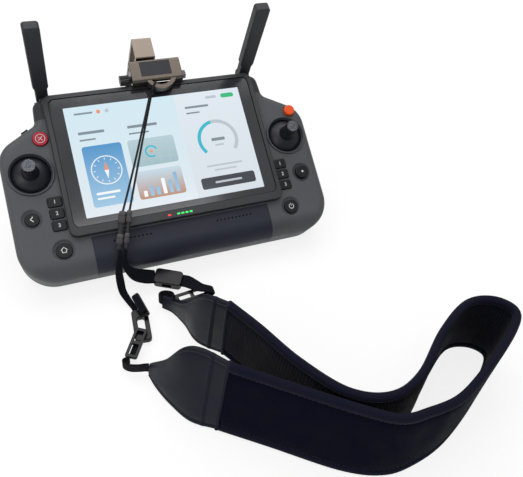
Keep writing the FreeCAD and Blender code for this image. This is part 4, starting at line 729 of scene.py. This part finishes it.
def band(mesh, lows, highs, reaches, half_thick, material_at):
    """A closed band between two lines, in millimetres from below the display's middle.

    reaches are shares of the width. half_thick gives half the thickness from the distance to the
    nearer edge, the width, the place along and the side, and material_at picks a material from the
    distance to the nearer edge, the side and the place along.
    """
    laid = mesh.verts.layers.float_vector.get("laid") or mesh.verts.layers.float_vector.new("laid")
    rings = []
    run = 0.0
    last = len(lows) - 1
    for index in range(len(lows)):
        before, after = max(index - 1, 0), min(index + 1, last)
        if index:
            run += ((lows[index] + highs[index]) / 2 - (lows[before] + highs[before]) / 2).length
        along = (lows[after] + highs[after]) - (lows[before] + highs[before])
        width = (highs[index] - lows[index]).length
        across = (highs[index] - lows[index]) / width
        normal = along.cross(across).normalized()
        sides = []
        for side in (1, -1):
            row = []
            for share in reaches:
                from_edge = min(share, 1 - share) * width
                half = half_thick(from_edge, width, run, side)
                point = lows[index] + across * share * width + normal * side * half
                point.z = max(point.z, FLOOR_GAP)
                if side == -1 and share in (0.0, 1.0):
                    row.append(sides[0][0 if share == 0.0 else -1])
                    continue
                vertex = mesh.verts.new(on_table(*point))
                vertex[laid] = (run, share * width, side)
                row.append(vertex)
            sides.append(row)
        rings.append((sides, width, run))
    count = len(reaches)
    for (sides, width, run), (after, _, _) in zip(rings, rings[1:]):
        for side in (0, 1):
            for index in range(count - 1):
                middle = (reaches[index] + reaches[index + 1]) / 2
                corners = [*sides[side][index:index + 2], after[side][index + 1], after[side][index]]
                face = mesh.faces.new(corners if side else corners[::-1])
                face.material_index = material_at(min(middle, 1 - middle) * width, side, run)
    for sides, width, run in (rings[0], rings[-1]):
        for index in range(count - 1):
            middle = (reaches[index] + reaches[index + 1]) / 2
            corners = [sides[0][index], sides[0][index + 1], sides[1][index + 1], sides[1][index]]
            corners = list(dict.fromkeys(corners))
            face = mesh.faces.new(corners)
            face.material_index = material_at(min(middle, 1 - middle) * width, 0, run)


def woven(made, colour, along_mm, across_mm, depth_mm, painted_thread_shade=0.25, roughness=(0.75, 0.9)):
    """Threads that cross at so many millimetres, raised, with a painted highlight on their crowns and painted
    shade between them, on a colour that clouds a little.
    """
    laid = add(made, "ShaderNodeAttribute", {}, {"attribute_name": "laid"}, output="Vector")
    threads = [
        add(
            made,
            "ShaderNodeTexWave",
            {"Vector": laid, "Scale": math.pi / 10 / pitch_mm, "Distortion": 0.0},
            {"wave_type": "BANDS", "bands_direction": direction, "wave_profile": "SIN"},
        )
        for pitch_mm, direction in ((along_mm, "X"), (across_mm, "Y"))
    ]
    both = add(made, "ShaderNodeMath", {0: threads[0], 1: threads[1]}, {"operation": "MULTIPLY"})
    clouds = add(made, "ShaderNodeTexNoise", {"Vector": place(made, 14.0), "Scale": 1.0, "Detail": 4.0})
    # painted highlight on the threads' crowns and painted shade between them, following the relief
    tone = add(made, "ShaderNodeMapRange", {0: both, 3: 1 - painted_thread_shade, 4: 1 + painted_thread_shade})
    cloud = add(made, "ShaderNodeMapRange", {0: clouds, **SPREAD, 3: 0.88, 4: 1.12})
    shade = add(made, "ShaderNodeMath", {0: tone, 1: cloud}, {"operation": "MULTIPLY"})
    return surface(made, colour, shade, clouds, roughness, both, depth_mm)


# The knit is fine and lightless, the binding a little paler with clear threads, and the spacer
# mesh has open ribs that show as a coarse grid. On all three the threads carry a painted highlight
# on their crowns and painted shade between them, strongest on the mesh.
knit = woven(
    material("knitted_polyester_on_foam", {"IOR": 1.5, "Specular IOR Level": 0.06}),
    "07091A", 1.0, 1.0, 0.06, painted_thread_shade=0.15,
)
binding = woven(
    material("woven_edge_binding", {"IOR": 1.5, "Specular IOR Level": 0.12, "Sheen Weight": 0.02}),
    "101224", 1.2, 0.9, 0.1,
)
spacer_mesh = woven(
    material("ribbed_spacer_mesh", {"IOR": 1.5, "Specular IOR Level": 0.12, "Sheen Weight": 0.02}),
    "0E1020", 2.4, 1.6, 0.5, painted_thread_shade=0.7,
)
ROLL = 3.6                   # the rolled binding, from the edge to its fullest place
ROLL_HALF = 3.2
GROOVE_AT = 6.9
GROOVE_HALF = 1.75
PANEL_RISE = 1.3


def pad_half(from_edge, width, run, side):
    """Half the band's thickness: a rolled edge, the groove of the seam, then the foam panel."""
    if from_edge <= GROOVE_AT - 0.6:
        return ROLL_HALF * math.sqrt(max(0.0, 1 - ((from_edge - ROLL) / ROLL) ** 2))
    if from_edge <= GROOVE_AT + 0.1:
        return GROOVE_HALF
    full = GROOVE_HALF + PANEL_RISE * (1 - math.exp(-(from_edge - GROOVE_AT) / 2.4))
    crease = noise.noise(Vector((run / 16, from_edge / 30, side * 7.0)))
    return full + 0.22 * crease


def both_edges(steps_mm):
    """Shares of the band's width at so many millimetres from each edge, and its middle."""
    near = [step / PAD_WIDTH for step in steps_mm]
    return [*near, 0.5, *(1 - share for share in reversed(near))]


pad_reaches = both_edges([
    0, 0.12, 0.4, 0.8, 1.4, 2.1, 2.9, 3.8, 4.7, 5.5, 6.1, 6.4, 6.9, 7.3, 7.9, 8.8, 10.2, 12.5,
    16.0, 20.0, 26.0,
])
pad_mesh = bmesh.new()
band(
    pad_mesh, smooth_line(pad_low, 12), smooth_line(pad_high, 12), pad_reaches, pad_half,
    lambda from_edge, side, run: 1 if from_edge < GROOVE_AT else (2 if side else 0),
)
pad = piece("neck_band", pad_mesh, [knit, binding, spacer_mesh])
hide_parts("neck_pad")


def stitch(mesh, middle, along, across, normal, half_length, radius):
    """A short rounded thread."""
    loops = []
    for reach, share in ((-1.0, 0.35), (-0.6, 1.0), (0.6, 1.0), (1.0, 0.35)):
        loop = []
        for step in range(6):
            angle = math.pi * step / 3
            spot = middle + along * half_length * reach
            spot += (across * math.cos(angle) + normal * math.sin(angle)) * radius * share
            spot.z = max(spot.z, FLOOR_GAP)
            loop.append(mesh.verts.new(on_table(*spot)))
        loops.append(loop)
    for loop, after in zip(loops, loops[1:]):
        for index in range(6):
            side = (index + 1) % 6
            mesh.faces.new((loop[index], loop[side], after[side], after[index]))
    mesh.faces.new(loops[0][::-1])
    mesh.faces.new(loops[-1])


# The seam is a lockstitch in the groove along both edges, and it shows on both faces.
sewing_thread = grained(
    material("polyester_thread", {"IOR": 1.5, "Specular IOR Level": 0.2}), "1C1D28", 0.4, 0.02
)
PITCH = 3.2
THREAD_RADIUS = 0.3
STITCH_RISE = GROOVE_HALF + 0.05
lows = smooth_line(pad_low, 40)
highs = smooth_line(pad_high, 40)
stitches = bmesh.new()
for edge, inward in ((lows, GROOVE_AT), (highs, -GROOVE_AT)):
    for side in (1, -1):
        run = 0.0
        due = PITCH
        for index in range(1, len(lows) - 1):
            here = (lows[index] + highs[index]) / 2
            run += (here - (lows[index - 1] + highs[index - 1]) / 2).length
            if run < due:
                continue
            due += PITCH
            across = (highs[index] - lows[index]).normalized()
            along = (edge[index + 1] - edge[index - 1]).normalized()
            normal = along.cross(across).normalized()
            middle = edge[index] + across * inward + normal * side * STITCH_RISE
            stitch(stitches, middle, along, across, normal, PITCH * 0.36, THREAD_RADIUS)
piece("band_stitches", stitches, [sewing_thread])


# ---- Strap: leather ends -------------------------------------------------------------------------
# Tapered ends of smooth faux leather, folded over the ends of the band and sewn down through
# lighter binding. Each has a turned edge and a seam across it near the band.
# The coated leather is smooth with a faint pebble, so it has soft streaks of light along its folds.
leather = material("faux_leather", {"IOR": 1.5, "Specular IOR Level": 0.18})
pebbles = add(leather, "ShaderNodeTexVoronoi", {"Vector": place(leather, 1.1), "Scale": 1.0})
hide = add(leather, "ShaderNodeTexNoise", {"Vector": place(leather, 18.0), "Scale": 1.0, "Detail": 4.0})
hide_shade = add(leather, "ShaderNodeMapRange", {0: hide, **SPREAD, 3: 0.8, 4: 1.25})
surface(leather, "0D0F1E", hide_shade, hide, (0.38, 0.55), pebbles, 0.06)
# The tape's threads carry a painted highlight on their crowns and painted shade between them.
seam_tape = woven(
    material("folded_seam_tape", {"IOR": 1.5, "Specular IOR Level": 0.15, "Sheen Weight": 0.02}),
    "1A1D2A", 1.2, 0.9, 0.08,
)
NECK_Z = (3.0, 13.5)
LAP = 1.2                    # how far the leather laps over the band
near_step = (pad_low[1] - pad_low[0]).normalized() * LAP
far_step = (pad_low[-2] - pad_low[-1]).normalized() * LAP
CAP_LINES = {
    "near": (
        [
            (-56.2, -162.2, NECK_Z[0]), (-53.4, -173, 0.4), (-47.3, -188, 0), (-37.5, -204.6, 0),
            pad_low[0] + near_step,
        ],
        [
            (-54, -158.3, NECK_Z[1]), (-46, -170.5, 34), (-36.3, -178.5, 56), (-25.8, -185.5, 61),
            pad_high[0] + near_step,
        ],
    ),
    "far": (
        [
            (-31.5, -105, NECK_Z[0]), (-24, -110.4, 0.4), (-18.2, -124.4, 0), (-13.3, -143, 0),
            pad_low[-1] + far_step,
        ],
        [
            (-29.5, -101, NECK_Z[1]), (-22.8, -111.5, 18), (-17.3, -124.5, 31), (-10, -142, 58.5),
            pad_high[-1] + far_step,
        ],
    ),
}
BEAD_HALF = 1.5
SEAM_BACK = 13.0             # from the end of the leather back to the seam
SEAM_HALF = 1.6


def cap_profile(length):
    """Half the thickness of a leather end that is so long, with a bead at its end and a seam before it."""
    def half(from_edge, width, run, side):
        shrink = min(1.0, width / 34)
        d = from_edge / shrink
        bead = max(0.0, 1 - ((length - BEAD_HALF - run) / BEAD_HALF) ** 2)
        seam = max(0.0, 1 - (abs(length - SEAM_BACK - run) / SEAM_HALF) ** 2)
        rounding = math.sqrt(max(0.0, 1 - (1 - min(d, 2.4) / 2.4) ** 2))
        raised = 1.6 * math.sqrt(bead) * rounding + 0.35 * math.sqrt(seam) * rounding
        if d <= 3.4:
            return 1.9 * rounding + raised
        if d <= 4.2:
            return 1.45 + raised
        return 1.45 + 0.6 * (1 - math.exp(-(d - 4.2) / 2.0)) + raised
    return half


def taped(length):
    """Seam tape over the bead and the seam of a leather end that is so long."""
    def material_at(from_edge, side, run):
        return int(run > length - 2 * BEAD_HALF or abs(length - SEAM_BACK - run) < SEAM_HALF)
    return material_at


cap_reaches = both_edges([0, 0.15, 0.5, 1.0, 1.7, 2.5, 3.3, 3.8, 4.3, 5.0, 6.2, 8.5, 12.0, 18.0, 25.0])
for end, (low_points, high_points) in CAP_LINES.items():
    lows = smooth_line([Vector(point) for point in low_points], 60)
    highs = smooth_line([Vector(point) for point in high_points], 60)
    middles = [(low + high) / 2 for low, high in zip(lows, highs)]
    length = sum((after - before).length for before, after in zip(middles, middles[1:]))
    mesh = bmesh.new()
    band(mesh, lows, highs, cap_reaches, cap_profile(length), taped(length))
    cap = piece("leather_end_" + end, mesh, [leather, seam_tape])
    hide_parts("strap_end_" + end)


# ---- Strap: webbing ------------------------------------------------------------------------------
# Narrow polyester webbing, woven with a plain weave, sewn into the leather ends and run through
# the sliders and buckles up to the connectors. Its threads show as a fine dull check of painted
# highlight on their crowns and painted shade between them.
WEB_THICK = 1.3
webbing = woven(
    material("polyester_webbing", {"IOR": 1.5, "Specular IOR Level": 0.12, "Sheen Weight": 0.02}),
    "0D0E18", 1.1, 0.9, 0.12, painted_thread_shade=0.3,
)
UP = (0, 0, 1)
TIP_Z = sum(NECK_Z) / 2
TIP_WIDE = NECK_Z[1] - NECK_Z[0]
TAIL_FACING = (-0.49, 0.1, 0.87)
WEBBING = {
    "near": (
        (
            ((-55.9, -69.0, 40.1), 3.2, (0, -0.5, 0.9)), ((-58.1, -72.4, 31.5), 3.8, (0, -0.7, 0.7)),
            ((-59.7, -76.6, 23.5), 5.8, (0, -1, 0.25)), ((-59.8, -80.0, 15.5), 6.6, (0.1, -1, 0.4)),
            ((-59.2, -84.4, 8.0), 6.6, (0.3, -0.6, 0.8)), ((-56.7, -90.1, 4.0), 5.8, (0.2, -0.2, 1)),
            ((-54.4, -96.0, 2.4), 5.0, UP), ((-52.9, -100.4, 1.9), 5.0, UP),
        ),
        (
            ((-51.6, -92.6, 10.4), 5.4, TAIL_FACING), ((-49.9, -101.4, 10.0), 5.4, TAIL_FACING),
            ((-48.3, -109.8, 9.6), 5.4, TAIL_FACING),
        ),
        (((-66.3, -144.6, 4.5), 5.0, UP), ((-62.5, -138.4, 4.5), 5.0, UP), ((-59.9, -134.2, 3.9), 5.0, UP)),
        (
            ((-55.9, -158.8, TIP_Z), TIP_WIDE, (-0.8, -0.6, 0)),
            ((-58.6, -157.6, 8.0), 10.0, (-0.5, -0.9, 0)),
            ((-63.2, -156.4, 7.5), 10.0, (-0.1, -1, 0)), ((-68.4, -154.4, 7.0), 10.0, (-0.4, -1, 0)),
            ((-71.6, -151.8, 6.5), 9.5, (-0.9, -0.5, 0)), ((-73.2, -149.3, 6.4), 9.0, (-1, 0.1, 0)),
            ((-72.2, -147.2, 6.4), 9.0, (-0.2, 1, 0)), ((-67.8, -147.0, 6.4), 9.0, (0.6, 0.8, 0)),
        ),
    ),
    "far": (
        (
            ((-52.2, -70.4, 41.2), 3.2, (0, -0.5, 0.9)), ((-53.7, -73.0, 30.2), 3.6, (0, -0.8, 0.6)),
            ((-51.8, -75.8, 24.0), 7.0, (-0.2, -0.9, 0.6)), ((-46.9, -78.0, 18.6), 10.5, (-0.2, -0.7, 0.8)),
            ((-40.0, -78.4, 14.3), 12.0, (-0.1, -0.5, 1)), ((-31.0, -78.3, 10.6), 12.0, (0, -0.3, 1)),
        ),
        (
            ((-11.8, -86.3, 8.5), 12.0, (0, -0.15, 1)), ((-7.1, -89.3, 9.1), 12.0, (0, -0.1, 1)),
            ((-2.6, -94.6, 9.7), 10.5, (0, -0.1, 1)), ((1.5, -98.8, 9.9), 8.5, (0, -0.1, 1)),
            ((5.6, -101.0, 9.9), 7.0, (0, -0.1, 1)), ((10.0, -102.0, 8.8), 6.0, (0.3, -0.1, 1)),
            ((11.8, -102.4, 6.4), 6.0, (1, 0, 0)), ((10.0, -102.4, 3.8), 6.0, (0.3, 0, -1)),
            ((4.6, -101.8, 2.6), 6.0, (0, 0, -1)),
        ),
        (
            ((-31.2, -101.9, TIP_Z), TIP_WIDE, (-0.8, -0.6, 0)), ((-33.0, -99.0, 8.0), 10.0, (-1, -0.1, 0)),
            ((-31.4, -96.4, 8.0), 9.5, (-0.4, 1, 0)), ((-27.4, -96.0, 7.8), 9.5, (0.5, 1, 0)),
            ((-22.5, -98.2, 7.6), 9.0, (1, 0.5, 0)), ((-21.3, -102.0, 7.4), 9.0, (1, 0, 0)),
        ),
    ),
}
WEB_REACHES = [0, 0.03, 0.09, 0.18, 0.3, 0.5, 0.7, 0.82, 0.91, 0.97, 1.0]
EDGE_ROUND = 0.55


def web_half(from_edge, width, run, side):
    """Half the webbing's thickness, rounded off at the selvedges."""
    inward = min(1.0, from_edge / EDGE_ROUND)
    return WEB_THICK / 2 * math.sqrt(1 - (1 - inward) ** 2)


for end, runs in WEBBING.items():
    mesh = bmesh.new()
    for stations in runs:
        lows = []
        highs = []
        for index, (centre, width, facing) in enumerate(stations):
            ahead = Vector(stations[min(index + 1, len(stations) - 1)][0])
            behind = Vector(stations[max(index - 1, 0)][0])
            across = (ahead - behind).cross(Vector(facing)).normalized()
            lows.append(Vector(centre) - across * width / 2)
            highs.append(Vector(centre) + across * width / 2)
        band(
            mesh, smooth_line(lows, 6), smooth_line(highs, 6), WEB_REACHES, web_half,
            lambda from_edge, side, run: 0,
        )
    web = piece("webbing_run_" + end, mesh, [webbing])
    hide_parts("webbing_" + end)


# ---- Strap: buckles and sliders ------------------------------------------------------------------
# Two buckles and three sliders moulded in black acetal, which the webbing is threaded through. The
# tool was polished, so they are glossy, with small hard lights.
glossy_acetal = grained(
    material("glossy_black_acetal", {"IOR": 1.48, "Specular IOR Level": 0.25}),
    "0A0B10", 0.7, 0.01, roughness=(0.22, 0.34),
)
dress(["strap_buckles", "strap_sliders"], glossy_acetal)


# ---- Floor and light -----------------------------------------------------------------------------
# White paper under a large soft light straight overhead, with smaller ones in front and on the left
# and an even light all round. The paper shows white where the camera or a reflection sees it.
FLOOR_HALF = 4.0
floor_mesh = bpy.data.meshes.new("floor")
floor_corners = [(x * FLOOR_HALF, y * FLOOR_HALF, 0) for x, y in ((-1, -1), (1, -1), (1, 1), (-1, 1))]
floor_mesh.from_pydata(floor_corners, [], [(0, 1, 2, 3)])
floor = bpy.data.objects.new("floor", floor_mesh)
bpy.context.collection.objects.link(floor)
paper = material("white_paper", {"Base Color": linear("F0F0F0"), "Roughness": 0.9, "Specular IOR Level": 0.1})
floor_mesh.materials.append(paper)
CLEAR_SHARE = 0.8
seen = add(paper, "ShaderNodeLightPath", {}, output="Is Camera Ray")
for other_ray in ("Is Glossy Ray", "Is Transmission Ray"):
    other = add(paper, "ShaderNodeLightPath", {}, output=other_ray)
    seen = add(paper, "ShaderNodeMath", {0: seen, 1: other}, {"operation": "MAXIMUM"})
share = add(paper, "ShaderNodeMath", {0: seen, 1: CLEAR_SHARE}, {"operation": "MULTIPLY"})
glow = add(paper, "ShaderNodeEmission", {"Color": (1, 1, 1, 1), "Strength": 1.03})
lit_paper = paper.node_tree.nodes["Principled BSDF"].outputs[0]
shown = add(paper, "ShaderNodeMixShader", {0: share, 1: lit_paper, 2: glow})
paper.node_tree.links.new(shown, paper.node_tree.nodes["Material Output"].inputs["Surface"])

world = bpy.data.worlds.new("studio")
bpy.context.scene.world = world
world.use_nodes = True
SKY_LEVEL = 0.45
sky_seen = add(world, "ShaderNodeLightPath", {}, output="Is Camera Ray")
sky_light = add(world, "ShaderNodeMapRange", {0: sky_seen, 3: SKY_LEVEL, 4: 1.0})
background = world.node_tree.nodes["Background"]
background.inputs["Color"].default_value = (1, 1, 1, 1)
world.node_tree.links.new(sky_light, background.inputs["Strength"])


def softbox(name, at, towards, size, power):
    """A rectangular area light that points at a place."""
    light = bpy.data.lights.new(name, "AREA")
    light.shape = "RECTANGLE"
    light.size, light.size_y = size
    light.energy = power
    made = bpy.data.objects.new(name, light)
    bpy.context.collection.objects.link(made)
    made.location = at
    made.rotation_euler = (Vector(towards) - Vector(at)).to_track_quat("-Z", "Y").to_euler()


softbox("overhead_softbox", (0.0, 0.6, 1.3), (0, 0.1, 0), (1.6, 1.2), 15)
softbox("front_softbox", (0.03, -0.47, 1.25), (0, 0, 0), (0.65, 0.36), 1.3)
softbox("left_softbox", (-1.2, -0.5, 0.9), (0, 0, 0), (0.8, 0.8), 5)
bpy.context.scene.view_settings.view_transform = "Standard"
